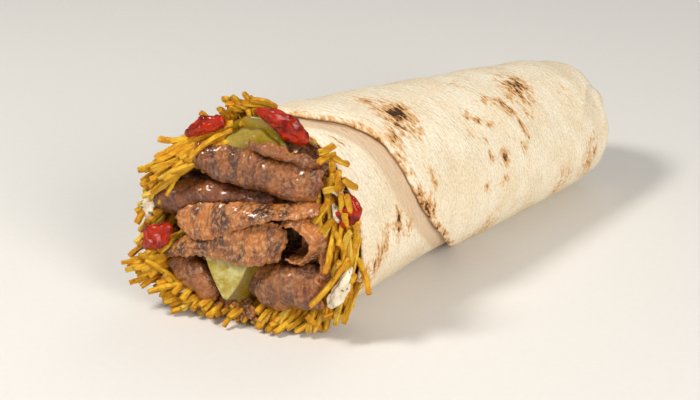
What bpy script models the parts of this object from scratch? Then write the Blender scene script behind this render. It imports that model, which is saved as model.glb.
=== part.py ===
"""Beef doner durum: a flatbread rolled round beef slices, crisp potato straws, pickles and sauces.

The roll lies on its side along X. Its open mouth faces -X and its tucked end +X, and it rests on z = 0.
Angles round the roll are in degrees from the top, positive towards -Y, so 90 is the -Y side and 180 the bottom.
The filling is laid out on the slanted face of the mouth, in millimetres: right, up and out.
"""

import math
import random

import bmesh
import bpy
from mathutils import Vector
from mathutils.bvhtree import BVHTree

MM = 0.001

# The rolled flatbread
MOUTH_AT = Vector((-58.75, 0.25, 0.03)) * MM
ROLL_LENGTH = 160 * MM
MOUTH_RADIUS = 36.5 * MM
END_RADIUS = 25.3 * MM
BELLY = 0.3 * MM
BREAD = 2.1 * MM
TURN_GAP = 0.6 * MM
SAG = 1.9 * MM
INNER_EDGE_DEG = -340
OUTER_EDGE_DEG = 300
FAR_LIP = 29 * MM
LIP_FLARE = 1.2 * MM
TUCK_LENGTH = 26 * MM
CLEARANCE = 0.4 * MM
CORE_CLEARANCE = 1.2 * MM

# Where the outer edge of the bread lies: degrees round the roll, millimetres behind the mouth
SEAM = ((-10, -3), (6, 4.7), (22, 16.6), (40, 23.5), (60, 26.8), (78, 29.8), (100, 39), (125, 53),
        (180, 80), (250, 107), (300, 121))

# The slanted face of the filling
FACE_CENTRE = Vector((-15, 0, 36)) * MM
FACE_RIGHT = Vector((0.380, -0.925, 0)).normalized()
FACE_UP = Vector((0, 0, 1))
FACE_OUT = FACE_RIGHT.cross(FACE_UP)

STRAW = 2.2 * MM
SEED = 11

# Rolled slices of beef: stations of right, up, out, half height and half depth; the arc of the roll, where 0 faces
# out and 90 up; and the thickness of the slice
ROLLED_BEEF = {
    "beef_top_roll": (((-18, 23.3, 3, 4.6, 4.5), (-10, 22.2, 4, 5.6, 5.5), (-2, 21, 4, 6, 6), (6, 20, 3.8, 6.2, 6),
                       (15, 19.2, 3, 6.4, 6), (25, 19, 1.5, 6.4, 5.5)), (-165, 140), 2.5),
    "beef_side_roll": (((-33, 2.5, 2, 4.2, 4), (-29, 5.2, 3.5, 5.3, 5), (-21, 7.8, 4, 5.3, 5.2), (-13, 9.4, 4.2, 4.8, 5),
                        (-5, 9.8, 3.4, 3.8, 4.2), (1.5, 10.4, 2.6, 3.0, 3.4), (8, 10.8, 1.8, 2.6, 3.0)), (-160, 145), 1.8),
    "beef_top_curl": (((3.5, 31, 3, 3.6, 4.2), (10, 31.4, 3.4, 4.4, 5), (18, 29.8, 2.6, 4.2, 5), (26, 27.6, 0.6, 3.2, 4)),
                      (-232, 52), 1.8),
    "beef_low_left": (((-29, -17.5, 5, 3.0, 3.2), (-23, -19, 6.5, 5.5, 4.5), (-16.5, -22.3, 7, 6.2, 5),
                       (-11.5, -25.5, 6, 4.5, 4)), (-150, 150), 2.1),
    "beef_low_right": (((0, -21.5, 5, 4, 4), (6, -19.5, 7, 6.6, 5), (13, -18.6, 8, 7.4, 5.5), (20, -17.8, 7.5, 7.4, 5.5),
                        (26, -18, 5.5, 6.2, 4.5)), (-150, 150), 2.3),
}

# Slices curled round a line that runs outwards: stations of right, up, out, half width and half height; the arc,
# where 0 is the left side and 90 the top; and the thickness
CURLED_BEEF = {
    "beef_open_curl": (((15.5, -1.5, -7, 3.2, 3.6), (16, -2, -2, 6.2, 6.8), (16.5, -2, 4, 8, 8.6),
                        (17, -2, 10.5, 8.6, 9.4)), (15, 340), 2.3),
}

# Flat slices of beef: stations of right, up, out and half width, with the direction of the width; and the thickness
FLAT_BEEF = {
    "beef_upper_fold": (((-23.5, -0.5, 10.5, 2.2, (0, 1, -0.2)), (-17.5, 1.8, 11, 5.2, (0, 1, -0.25)),
                         (-11, 3.4, 11.6, 5.2, (0, 1, -0.25)), (-4, 4.8, 11.6, 4.5, (0, 0.92, -0.38)),
                         (4, 6.8, 10.8, 4.0, (0, 0.75, -0.65)), (12, 8.6, 9.2, 3.8, (0, 0.5, -0.86)),
                         (19, 9.8, 7.6, 3.8, (0, 0.3, -0.95)), (26, 10.8, 6, 3.8, (0, 0.15, -0.98))), 2.5),
    "beef_lower_fold": (((-29, -11, 9.5, 2.2, (0, 1, -0.3)), (-22, -8.2, 10.5, 3.0, (0, 1, -0.5)),
                         (-15, -5.8, 11.2, 3.6, (0, 1, -0.5)), (-8, -3.8, 11.8, 5.0, (0, 1, -0.4)),
                         (0, -2.6, 12, 6.6, (0, 1, -0.3)), (6, -1.2, 12, 7.4, (0.1, 1, -0.25)),
                         (11, 0.2, 11.5, 7.4, (0.25, 1, -0.2))), 2.8),
    "beef_right_fold": (((19, 10.5, 5, 3.6, (-0.2, -0.6, 0.8)), (25, 8, 5.5, 3.6, (-0.4, -0.3, 0.85)),
                         (28.3, 1, 6, 3.8, (-0.5, 0, 0.85)), (29, -8, 6, 3.8, (-0.5, 0, 0.85)),
                         (28.5, -16, 5, 3.4, (-0.5, 0, 0.85))), 2.4),
}

# Lumps of sauce: stations of right, up, out and half width
SAUCES = {
    "ketchup_top_left": ((-22, 30, 5.5, 2.2), (-15, 34.4, 5.5, 2.6), (-7.5, 37.2, 5, 3.2)),
    "ketchup_top": ((2, 41, 1.5, 2.4), (9, 39.6, 2.5, 3.0), (16, 36.4, 3, 3.8), (20.5, 33, 3, 3.2)),
    "ketchup_right": ((34, 19, 4, 2.6), (35.5, 13, 5, 3.6), (34, 6.5, 5, 3.8)),
    "ketchup_left": ((-39.5, -16, 11.5, 3.0), (-35, -10, 12, 4.2), (-28, -3, 11, 2.6)),
    "garlic_sauce_right": ((36.8, -6.5, 7, 2.0), (34, -14.5, 8, 3.2), (29.5, -23, 7.5, 3.4)),
    "garlic_sauce_left": ((-35.5, 9.5, 5, 1.8), (-37.5, 3, 6, 2.6), (-37.5, -3.5, 6, 2.2)),
}

# Bunches of straws: from and to degrees round the face (0 right, 90 up), how many, the way they point (right, up,
# out), how far that varies, their length and how far out they start
BUNCHES = (
    (88, 112, 10, (-0.1, 0.9, 0.5), 0.6, 10, 0),
    (95, 150, 32, (-0.70, -0.55, 0.25), 0.20, 19, 4),
    (145, 205, 24, (-0.45, -0.60, 0.50), 0.30, 14, 4),
    (205, 250, 28, (-0.75, -0.35, 0.65), 0.40, 16, 3),
    (248, 305, 28, (-0.30, -0.50, 0.85), 0.45, 13, 2),
    (-60, 48, 56, (-0.10, -0.85, 0.30), 0.28, 18, 4),
)
STRAW_REACH = 41 * MM
STRAW_OUT = 17 * MM


def blend(a, b, share):
    return a + (b - a) * share


def smooth(value):
    share = min(1.0, max(0.0, value))
    return share * share * (3 - 2 * share)


def curve_through(points, at):
    """The values at this place of a smooth curve through rows of (place, value, value...)."""
    if at <= points[0][0]:
        return points[0][1:]
    for index in range(len(points) - 1):
        low, high = points[index], points[index + 1]
        if at > high[0]:
            continue
        before = points[max(0, index - 1)]
        after = points[min(len(points) - 1, index + 2)]
        span = high[0] - low[0]
        t = (at - low[0]) / span
        values = []
        for y_before, y0, y1, y_after in zip(before[1:], low[1:], high[1:], after[1:]):
            slope_0 = (y1 - y_before) / (high[0] - before[0]) * span
            slope_1 = (y_after - y0) / (after[0] - low[0]) * span
            values.append((2 * t**3 - 3 * t**2 + 1) * y0 + (t**3 - 2 * t**2 + t) * slope_0
                          + (3 * t**2 - 2 * t**3) * y1 + (t**3 - t**2) * slope_1)
        return tuple(values)
    return points[-1][1:]


def along_stations(stations, share):
    """The smoothly blended station at this share of the way from the first to the last."""
    last = len(stations) - 1
    return curve_through([(index / last, *station) for index, station in enumerate(stations)], share)


def face(right, up, out):
    """A point of the filling, from millimetres on the slanted face."""
    return MOUTH_AT + FACE_CENTRE + (FACE_RIGHT * right + FACE_UP * up + FACE_OUT * out) * MM


def face_direction(right, up, out):
    return (FACE_RIGHT * right + FACE_UP * up + FACE_OUT * out).normalized()


# Scene and mesh helpers


def clear_scene():
    for obj in list(bpy.data.objects):
        bpy.data.objects.remove(obj, do_unlink=True)
    for collection in list(bpy.data.collections):
        bpy.data.collections.remove(collection)


def new_collection(name):
    collection = bpy.data.collections.new(name)
    bpy.context.scene.collection.children.link(collection)
    return collection


def material(name, colour, roughness):
    made = bpy.data.materials.new(name)
    made.use_nodes = True
    shader = made.node_tree.nodes["Principled BSDF"]
    shader.inputs["Base Color"].default_value = (*colour, 1)
    shader.inputs["Roughness"].default_value = roughness
    shader.inputs["Metallic"].default_value = 0
    return made


def object_from(name, built, collection, finish):
    bmesh.ops.recalc_face_normals(built, faces=built.faces)
    if built.calc_volume(signed=True) < 0:
        bmesh.ops.reverse_faces(built, faces=built.faces)
    mesh = bpy.data.meshes.new(name)
    built.to_mesh(mesh)
    built.free()
    obj = bpy.data.objects.new(name, mesh)
    obj.data.materials.append(finish)
    collection.objects.link(obj)
    return obj


def mapped_grid(columns, rows, place):
    """A grid whose points are put where place says, from their shares of the way across and along it."""
    grid = bmesh.new()
    bmesh.ops.create_grid(grid, x_segments=columns, y_segments=rows, size=0.5)
    for vertex in grid.verts:
        vertex.co = place(vertex.co.x + 0.5, vertex.co.y + 0.5)
    return grid


def turned(profile, segments):
    """A closed body turned about X from (distance along X, radius) points, first and last on the axis."""
    body = bmesh.new()
    verts = [body.verts.new((along, 0, radius)) for along, radius in profile]
    edges = [body.edges.new(pair) for pair in zip(verts, verts[1:])]
    bmesh.ops.spin(body, geom=verts + edges, axis=(1, 0, 0), cent=(0, 0, 0), angle=2 * math.pi,
                   steps=segments, use_merge=True)
    bmesh.ops.remove_doubles(body, verts=body.verts, dist=1e-6)
    return body


def solidified(obj, thickness):
    modifier = obj.modifiers.new("Thickness", "SOLIDIFY")
    modifier.thickness = thickness
    modifier.offset = 0
    modifier.use_even_offset = True
    bpy.context.view_layer.update()
    apply_modifiers(obj)
    turn_faces_out(obj)
    return obj


def apply_modifiers(obj):
    graph = bpy.context.evaluated_depsgraph_get()
    mesh = bpy.data.meshes.new_from_object(obj.evaluated_get(graph))
    obj.modifiers.clear()
    obj.data = mesh


def turn_faces_out(obj):
    mesh = bmesh.new()
    mesh.from_mesh(obj.data)
    bmesh.ops.recalc_face_normals(mesh, faces=mesh.faces)
    mesh.to_mesh(obj.data)
    mesh.free()


def keep_largest_body(obj):
    """Drops the loose scraps that a cut or a join leaves."""
    mesh = bmesh.new()
    mesh.from_mesh(obj.data)
    bodies = []
    unseen = set(mesh.faces)
    while unseen:
        stack = [unseen.pop()]
        body = list(stack)
        while stack:
            for edge in stack.pop().edges:
                if len(edge.link_faces) != 2:
                    continue
                for face_beside in edge.link_faces:
                    if face_beside in unseen:
                        unseen.remove(face_beside)
                        body.append(face_beside)
                        stack.append(face_beside)
        bodies.append(body)
    largest = max(bodies, key=lambda body: sum(piece.calc_area() for piece in body))
    scraps = [piece for body in bodies if body is not largest for piece in body]
    bmesh.ops.delete(mesh, geom=scraps, context="FACES")
    mesh.to_mesh(obj.data)
    mesh.free()


def boxes_meet(a, b):
    spans = []
    for obj in (a, b):
        corners = [vertex.co for vertex in obj.data.vertices]
        spans.append([(min(c[i] for c in corners), max(c[i] for c in corners)) for i in range(3)])
    return all(low[0] < high[1] and high[0] < low[1] for low, high in zip(*spans))


def cut(obj, cutters):
    """Takes each cutter that it meets from obj, and keeps the largest body that is left."""
    for cutter in cutters:
        if not boxes_meet(obj, cutter):
            continue
        modifier = obj.modifiers.new("Cut", "BOOLEAN")
        modifier.operation = "DIFFERENCE"
        modifier.solver = "EXACT"
        modifier.object = cutter
        bpy.context.view_layer.update()
        apply_modifiers(obj)
    keep_largest_body(obj)


def as_cutter(obj):
    obj.hide_render = True
    obj.display_type = "WIRE"
    return obj


# The flatbread


def roll_radius(along):
    share = along / ROLL_LENGTH
    return blend(MOUTH_RADIUS, END_RADIUS, share) + BELLY * math.sin(math.pi * min(1, max(0, share)))


def bread_front(angle):
    """How far behind the mouth the bread's edge lies at this angle: its lip, then its outer edge."""
    if angle < SEAM[0][0]:
        return -FAR_LIP * max(0.0, -math.sin(math.radians(angle))) ** 1.3
    return curve_through(SEAM, angle)[0] * MM


def bread_back(angle):
    uncovered = smooth((angle - OUTER_EDGE_DEG + 375) / 40)
    return ROLL_LENGTH - blend(12, 17 - 2.5 * math.cos(math.radians(angle - 20)), uncovered) * MM


def covered(angle, along):
    """1 where another turn of the bread lies over this one, falling to 0 a little way past that turn's edge."""
    over = min(angle + 360, OUTER_EDGE_DEG)
    reach = 45 * MM
    past_edge = smooth((angle + 360 - OUTER_EDGE_DEG) / 45)
    return smooth((along - bread_front(over) + 5 * MM + reach) / reach) * (1 - past_edge)


def bread_depth(angle, along):
    """How far the bread's outer side lies under the surface of the roll."""
    lip = 1 - smooth((along - bread_front(angle)) / (14 * MM))
    flare = LIP_FLARE * lip * smooth((SEAM[0][0] - angle) / 30) * max(0.0, -math.sin(math.radians(angle)))
    tuck = 1.6 * MM * smooth((along - ROLL_LENGTH + 32 * MM) / (18 * MM)) ** 2
    under = covered(angle, along)
    return under * (BREAD + TURN_GAP) - flare * (1 - under) + tuck


def roll_point(turn, along, depth):
    """A point at this depth under the roll's surface; the underside is pressed flat."""
    radius = roll_radius(along)
    height = max(radius - SAG + (radius - depth) * math.cos(turn), BREAD / 2, depth)
    return MOUTH_AT + Vector((along, -(radius - depth) * math.sin(turn), height))


def bread_sheet():
    def place(round_share, along_share):
        angle = blend(INNER_EDGE_DEG, OUTER_EDGE_DEG, round_share)
        along = blend(bread_front(angle), bread_back(angle), along_share)
        return roll_point(math.radians(angle), along, bread_depth(angle, along) + BREAD / 2)
    return mapped_grid(60, 9, place)


def tucked_end():
    """The folded-in end: a low dome with soft folds round it."""
    base = ROLL_LENGTH - TUCK_LENGTH
    wall = BREAD * 1.4 + TURN_GAP + 1.6 * MM
    shoulder = 10 * MM
    steps = 6
    profile = [(base, 0), (base, 1.0), (ROLL_LENGTH - shoulder, 1.0)]
    for step in range(1, steps):
        turn = math.pi / 2 * step / steps
        profile.append((ROLL_LENGTH - shoulder + shoulder * math.sin(turn), math.cos(turn) ** 0.7))
    profile.append((ROLL_LENGTH, 0))
    dome = turned(profile, 28)
    for vertex in dome.verts:
        share = math.hypot(vertex.co.y, vertex.co.z)
        turn = math.atan2(-vertex.co.y, vertex.co.z)
        along = vertex.co.x
        if along > base + 1 * MM:
            fold = math.sin(2 * math.pi * share * 1.3 - turn)
            along += 1.0 * MM * fold * smooth(share * 3) * (1 - smooth((share - 0.85) / 0.15))
        depth = roll_radius(along) - (roll_radius(along) - wall) * share
        vertex.co = roll_point(turn, along, depth)
        vertex.co.z = max(vertex.co.z, MOUTH_AT.z + BREAD * 0.5)
    return dome


def make_bread(collection, finish):
    bread = solidified(object_from("flatbread", bread_sheet(), collection, finish), BREAD)
    end = as_cutter(object_from("end", tucked_end(), collection, finish))
    join = bread.modifiers.new("Tucked end", "BOOLEAN")
    join.operation = "UNION"
    join.solver = "EXACT"
    join.object = end
    bpy.context.view_layer.update()
    apply_modifiers(bread)
    keep_largest_body(bread)
    bpy.data.objects.remove(end)
    return bread


def room_inside(turn, along):
    """How far under the roll's surface the innermost bread ends, at this place."""
    angle = math.degrees(turn) % 360
    if angle - 360 >= INNER_EDGE_DEG:
        angle -= 360
    return bread_depth(angle, max(along, bread_front(angle))) + BREAD


# The filling


def filling_core(grow=0.0):
    """The bare core of the straws: it fills the roll, and its front is a dish inside a raised ring."""
    back = ROLL_LENGTH - TUCK_LENGTH - CLEARANCE + grow
    body_end = -30 * MM
    profile = [(back, 0), (back, 1.0), (back * 0.75, 1.0), (back * 0.5, 1.0), (back * 0.25, 1.0), (2 * MM, 1.0)]
    face_ring = ((1.0, -3), (1.0, 0.5), (1.11, 2), (1.09, 4), (0.97, 4), (0.86, 1), (0.77, -6), (0.4, -8), (0, -8))
    profile += [(body_end - out * MM, share) for share, out in face_ring]
    body = turned(profile, 30)
    for vertex in body.verts:
        share = math.hypot(vertex.co.y, vertex.co.z)
        turn = math.atan2(-vertex.co.y, vertex.co.z)
        along = vertex.co.x
        if along < 0:
            out = body_end - along
            ahead = -grow if share > 0.98 and out < 3 * MM else grow
            out -= 5 * MM * smooth(share * 2 - 1) * smooth(1.4 - abs(turn - 0.05) / 0.6)
            radius = (roll_radius(0) - room_inside(turn, 0) - CORE_CLEARANCE) * share
            radius += grow if share > 0.93 else -grow * smooth(share * 3)
            side = radius * math.sin(turn)
            rise = radius * math.cos(turn) + roll_radius(0) - SAG
            low = BREAD + CORE_CLEARANCE - grow
            slant = FACE_CENTRE.x + side / -FACE_RIGHT.y * FACE_RIGHT.x
            vertex.co = MOUTH_AT + Vector((slant + FACE_OUT.x * (out + ahead), -side, max(rise, low)))
        else:
            depth = room_inside(turn, along) + CORE_CLEARANCE - grow
            depth = roll_radius(along) - (roll_radius(along) - depth) * share
            vertex.co = roll_point(turn, along, depth)
    return body


def section_frame(before, after, upright):
    """The run of a slice and two directions across it, out (or left) and up."""
    run = (after - before).normalized()
    up = (upright - run * upright.dot(run)).normalized()
    return run, run.cross(up), up


def rolled_sheet(name, stations, arc, thickness, collection, finish, grow=0.0, columns=10, rows=12):
    """A slice rolled along its stations, whose last two numbers are its half sizes."""
    swap = stations[0][2] < 0

    def middle(share):
        right, up, out = along_stations(stations, share)[:3]
        return face(right, up, out)

    def place(share, round_share):
        station = along_stations(stations, share)
        run, across, up = section_frame(middle(max(0, share - 0.02)), middle(min(1, share + 0.02)), FACE_UP)
        tall, wide = (station[4], station[3]) if swap else (station[3], station[4])
        angle = math.radians(blend(*arc, round_share)) + (2 * round_share - 1) * grow / (min(tall, wide) * MM)
        ripple = 0.35 * math.sin(share * 11 + angle * 2) + 0.25 * math.sin(share * 23 - angle * 3)
        reach = (ripple - thickness / 2) * MM
        ends = run * (grow * (2 * share - 1))
        return (middle(share) + ends + across * (math.cos(angle) * (wide * MM + reach))
                + up * (math.sin(angle) * (tall * MM + reach)))

    obj = object_from(name, mapped_grid(columns, rows, place), collection, finish)
    return solidified(obj, thickness * MM + 2 * grow)


def flat_sheet(name, stations, thickness, collection, finish, grow=0.0, columns=13, rows=5):
    """A slice laid along its stations, its width turning with them."""
    plain = [(*station[:4], *station[4]) for station in stations]

    def place(share, across_share):
        right, up, out, half, *width = along_stations(plain, share)
        before = along_stations(plain, max(0, share - 0.02))
        after = along_stations(plain, min(1, share + 0.02))
        run = (face(*after[:3]) - face(*before[:3])).normalized()
        across = face_direction(*width)
        off = run.cross(across).normalized()
        side = 2 * across_share - 1
        ragged = 0.5 * math.sin(share * 31 + side * 2) * abs(side)
        wave = 0.5 * math.sin(share * 14 + side * 1.5)
        bow = 0.9 * (side * side - 0.3)
        return (face(right, up, out) + run * (grow * (2 * share - 1))
                + across * (side * ((half + ragged) * MM + grow)) + off * ((wave - bow) * MM))

    obj = object_from(name, mapped_grid(columns, rows, place), collection, finish)
    return solidified(obj, thickness * MM + 2 * grow)


def sauce_lump(name, stations, collection, finish, grow=0.0):
    """A lump that follows its stations, fattest in the middle."""
    lump = bmesh.new()
    bmesh.ops.create_uvsphere(lump, u_segments=10, v_segments=8, radius=1)
    for vertex in lump.verts:
        share = (1 - vertex.co.z) / 2
        right, up, out, half = along_stations(stations, share)
        before = face(*along_stations(stations, max(0, share - 0.02))[:3])
        after = face(*along_stations(stations, min(1, share + 0.02))[:3])
        run, across, rise = section_frame(before, after, FACE_OUT)
        reach = math.hypot(vertex.co.x, vertex.co.y)
        turn = math.atan2(vertex.co.y, vertex.co.x)
        fullness = reach ** 0.8 * (half * (1 + 0.12 * math.sin(3 * turn + share * 9)) * MM + grow)
        vertex.co = (face(right, up, out) + run * (grow * (2 * share - 1))
                     + across * (math.cos(turn) * fullness) + rise * (math.sin(turn) * fullness * 0.8))
    return object_from(name, lump, collection, finish)


def pickle_disc(name, centre, tilt, collection, finish, grow=0.0):
    """A round slice whose face looks outwards, leaning by tilt (right, up)."""
    disc = bmesh.new()
    bmesh.ops.create_cone(disc, cap_ends=True, segments=22, radius1=11.2 * MM + grow, radius2=11.2 * MM + grow,
                          depth=2.4 * MM + 2 * grow)
    axis = face_direction(tilt[0], tilt[1], 1)
    side = FACE_RIGHT - axis * FACE_RIGHT.dot(axis)
    side.normalize()
    rise = axis.cross(side)
    for vertex in disc.verts:
        vertex.co = face(*centre) + side * vertex.co.x + rise * vertex.co.y + axis * vertex.co.z
    return object_from(name, disc, collection, finish)


def pickle_wedge(name, collection, finish, grow=0.0):
    """A pickle wedge: a three-cornered face that looks outwards, with its skin on the right."""
    corners = ((-14, -8, 9.5), (3.5, -9.5, 9.5), (-6.5, -26.5, 12.5))
    back = Vector((3.4, -1.6, -8))
    middle = sum((Vector(corner) for corner in corners), Vector()) / 3
    wedge = bmesh.new()
    bmesh.ops.create_cone(wedge, cap_ends=True, segments=3, radius1=1, radius2=1, depth=2)
    for vertex in wedge.verts:
        index = round((math.atan2(vertex.co.y, vertex.co.x) - math.pi / 2) / (2 * math.pi / 3)) % 3
        corner = Vector(corners[index])
        corner += (corner - middle).normalized() * (grow / MM * 2)
        depth = back * (1 + grow / MM / 8) if vertex.co.z < 0 else -back * (grow / MM / 8)
        vertex.co = face(*(corner + depth))
    bmesh.ops.recalc_face_normals(wedge, faces=wedge.faces)
    bmesh.ops.bevel(wedge, geom=wedge.edges, offset=0.7 * MM, segments=1, affect="EDGES", clamp_overlap=True)
    return object_from(name, wedge, collection, finish)


# The straws


def straw_line(root, heading, bend, length):
    middle = root + heading * (length / 2) + bend
    return [root, middle, root + heading * length + bend * 0.4]


def straw_stick(line, roll, grow=0.0):
    """A bent square stick along the three points of line."""
    stick = bmesh.new()
    bmesh.ops.create_cube(stick, size=1)
    bmesh.ops.subdivide_edges(stick, edges=[edge for edge in stick.edges
                                            if abs(edge.verts[0].co.z - edge.verts[1].co.z) > 0.5], cuts=1)
    run = (line[2] - line[0]).normalized()
    side = run.orthogonal().normalized()
    side = side * math.cos(roll) + run.cross(side) * math.sin(roll)
    rise = run.cross(side)
    for vertex in stick.verts:
        index = round(vertex.co.z * 2) + 1
        size = STRAW + 2 * grow
        end = run * (grow * (index - 1))
        vertex.co = line[index] + side * (vertex.co.x * size) + rise * (vertex.co.y * size) + end
    return stick


def lines_apart(first, second):
    """The least distance between two bent lines, from points along them."""
    nearest = 1.0
    for a in range(9):
        p = first[a // 4].lerp(first[min(2, a // 4 + 1)], (a % 4) / 4)
        for b in range(9):
            q = second[b // 4].lerp(second[min(2, b // 4 + 1)], (b % 4) / 4)
            nearest = min(nearest, (p - q).length)
    return nearest


def straw_lines(others):
    """Where the straws lie: a seeded spread in bunches, leaving out any that would cross another piece."""
    draw = random.Random(SEED)
    lines = []
    for start, end, count, heading, spread, length, out in BUNCHES:
        for index in range(count):
            for attempt in range(40):
                angle = math.radians(blend(start, end, (index + draw.random()) / count))
                share = draw.uniform(0.88, 1.08)
                root = face(35 * math.cos(angle) * share, 32.5 * math.sin(angle) * share, out + draw.uniform(-2, 0.5))
                way = [value + spread * draw.uniform(-1, 1) for value in heading]
                way[2] = max(0.25, way[2])
                heading_here = face_direction(*way)
                bend = Vector([draw.uniform(-1, 1) for _ in range(3)]) * 0.9 * MM
                roll = draw.uniform(0, math.pi / 2)
                reach = length * draw.uniform(0.75, 1.25) * (1 - attempt / 80) * MM
                line = straw_line(root, heading_here, bend, reach)
                tip = line[2] - MOUTH_AT - FACE_CENTRE
                if min(point.z for point in line) < 1.8 * MM or math.hypot(tip.y, tip.z) > STRAW_REACH:
                    continue
                if tip.dot(FACE_OUT) > STRAW_OUT:
                    continue
                if any(lines_apart(line[1:] + line[2:], other) < STRAW * 1.05 for other, _ in lines):
                    continue
                stick = straw_stick(line, roll, 0.35 * MM)
                tree = BVHTree.FromBMesh(stick)
                stick.free()
                if tree.overlap(others):
                    continue
                lines.append((line, roll))
                break
    return lines


def make_straws(core, others, finish):
    sticks = new_collection("sticks")
    for index, (line, roll) in enumerate(straw_lines(others)):
        stick = straw_stick(line, roll)
        as_cutter(object_from(f"stick_{index}", stick, sticks, finish))
    print(len(sticks.objects), "straws")
    join = core.modifiers.new("Straws", "BOOLEAN")
    join.operation = "UNION"
    join.solver = "EXACT"
    join.operand_type = "COLLECTION"
    join.collection = sticks
    bpy.context.view_layer.update()
    apply_modifiers(core)
    keep_largest_body(core)
    for stick in list(sticks.objects):
        bpy.data.objects.remove(stick)
    bpy.data.collections.remove(sticks)


def tree_of(objects):
    gathered = bmesh.new()
    for obj in objects:
        gathered.from_mesh(obj.data)
    tree = BVHTree.FromBMesh(gathered)
    gathered.free()
    return tree


def run():
    clear_scene()
    durum = new_collection("beef_doner_durum")
    cutters = new_collection("cutters")
    bread_finish = material("toasted_flatbread", (0.82, 0.66, 0.44), 0.75)
    beef_finish = material("grilled_beef", (0.28, 0.12, 0.06), 0.45)
    straw_finish = material("potato_straws", (0.83, 0.52, 0.06), 0.5)
    pickle_finish = material("pickle", (0.42, 0.42, 0.06), 0.3)
    ketchup_finish = material("ketchup", (0.45, 0.02, 0.01), 0.2)
    garlic_finish = material("garlic_sauce", (0.85, 0.82, 0.74), 0.3)

    make_bread(durum, bread_finish)
    core = object_from("potato_straws", filling_core(), durum, straw_finish)
    grown = [as_cutter(object_from("core_room", filling_core(CLEARANCE), cutters, straw_finish))]

    def fit(maker, name, *args, finish):
        """Makes a piece, cuts it clear of those before it, and keeps a larger copy of it for those after."""
        piece = maker(name, *args, durum, finish)
        cut(piece, grown)
        grown.append(as_cutter(maker(name + "_room", *args, cutters, finish, grow=CLEARANCE)))

    for name in ("beef_top_roll", "beef_side_roll", "beef_top_curl"):
        fit(rolled_sheet, name, *ROLLED_BEEF[name], finish=beef_finish)
    for name in ("beef_upper_fold", "beef_lower_fold"):
        fit(flat_sheet, name, *FLAT_BEEF[name], finish=beef_finish)
    for name in CURLED_BEEF:
        fit(rolled_sheet, name, *CURLED_BEEF[name], finish=beef_finish)
    fit(flat_sheet, "beef_right_fold", *FLAT_BEEF["beef_right_fold"], finish=beef_finish)
    fit(pickle_wedge, "pickle_wedge", finish=pickle_finish)
    for name in ("beef_low_left", "beef_low_right"):
        fit(rolled_sheet, name, *ROLLED_BEEF[name], finish=beef_finish)
    fit(pickle_disc, "pickle_front", (1.5, 24.3, 4.6), (0.05, 0.15), finish=pickle_finish)
    fit(pickle_disc, "pickle_back", (1.5, 27.6, 1.4), (0, 0.15), finish=pickle_finish)
    for name, stations in SAUCES.items():
        fit(sauce_lump, name, stations, finish=ketchup_finish if name.startswith("ketchup") else garlic_finish)

    make_straws(core, tree_of([obj for obj in durum.objects if obj is not core]), straw_finish)
    for cutter in list(cutters.objects):
        bpy.data.objects.remove(cutter)
    bpy.data.collections.remove(cutters)


run()
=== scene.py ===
import random
from math import atan2, cos, degrees, exp, hypot, pi, radians, sin, sqrt

import bpy
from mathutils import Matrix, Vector, noise


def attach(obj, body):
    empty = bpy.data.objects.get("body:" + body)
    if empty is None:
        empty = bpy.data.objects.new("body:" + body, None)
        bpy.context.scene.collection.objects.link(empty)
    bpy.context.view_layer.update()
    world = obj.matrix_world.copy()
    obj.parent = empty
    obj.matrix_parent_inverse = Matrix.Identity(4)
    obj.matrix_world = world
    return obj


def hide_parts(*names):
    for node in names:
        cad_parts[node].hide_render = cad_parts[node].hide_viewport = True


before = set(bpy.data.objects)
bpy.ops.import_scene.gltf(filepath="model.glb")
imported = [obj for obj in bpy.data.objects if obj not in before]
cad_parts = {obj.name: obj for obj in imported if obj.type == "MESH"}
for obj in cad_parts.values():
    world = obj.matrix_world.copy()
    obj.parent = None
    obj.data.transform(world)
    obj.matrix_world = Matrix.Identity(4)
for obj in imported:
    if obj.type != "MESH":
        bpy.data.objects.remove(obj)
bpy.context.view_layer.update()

# All lengths below are in millimetres, in the row frame. The roll lies along X with its mouth towards -X.
mm = 0.001
mouthAt = Vector((-58.75, 0.25, 0.03))
faceCentre = mouthAt + Vector((-15, 0, 36))
faceRight = Vector((0.380, -0.925, 0)).normalized()
upright = Vector((0, 0, 1))
faceOut = faceRight.cross(upright)


# Camera, light and floor

viewpoint = {"azimuth": -45.43, "elevation": 25.35, "distance": 585.1, "aim": (-28.75, 0.25, 28.73), "lens": 85}
studio = {
    "lamps": (  # azimuth and elevation as for the camera, distance, size, watts, colour
        (-112, 50, 900, 200, 5.4, (1.0, 0.97, 0.92)),
        (-15, 25, 1000, 500, 6.8, (1.0, 0.96, 0.90)),
        (100, 55, 900, 500, 0.8, (1.0, 0.98, 0.95)),
    ),
    "sky": 0.28,
    "floor": (0.78, 0.76, 0.73), "floorHalf": 1.6, "floorGrain": {"speckle": (0.4, 0.4, 0.4, 2, 0.3, 0.7)},
}


def awayFrom(azimuth, elevation):
    a, e = radians(azimuth), radians(elevation)
    return Vector((sin(a) * cos(e), -cos(a) * cos(e), sin(e)))


def linked(name, data):
    made = bpy.data.objects.new(name, data)
    bpy.context.scene.collection.objects.link(made)
    return made


def aimedAt(obj, target, azimuth, elevation, distance):
    away = awayFrom(azimuth, elevation)
    obj.location = (Vector(target) + away * distance) * mm
    obj.rotation_euler = (-away).to_track_quat("-Z", "Y").to_euler()
    return obj


def addCamera():
    camera = linked("camera", bpy.data.cameras.new("camera"))
    camera.data.lens = viewpoint["lens"]
    camera.data.sensor_width = 36
    camera.data.clip_start = 0.01
    aimedAt(camera, viewpoint["aim"], viewpoint["azimuth"], viewpoint["elevation"], viewpoint["distance"])
    bpy.context.scene.camera = camera


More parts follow.
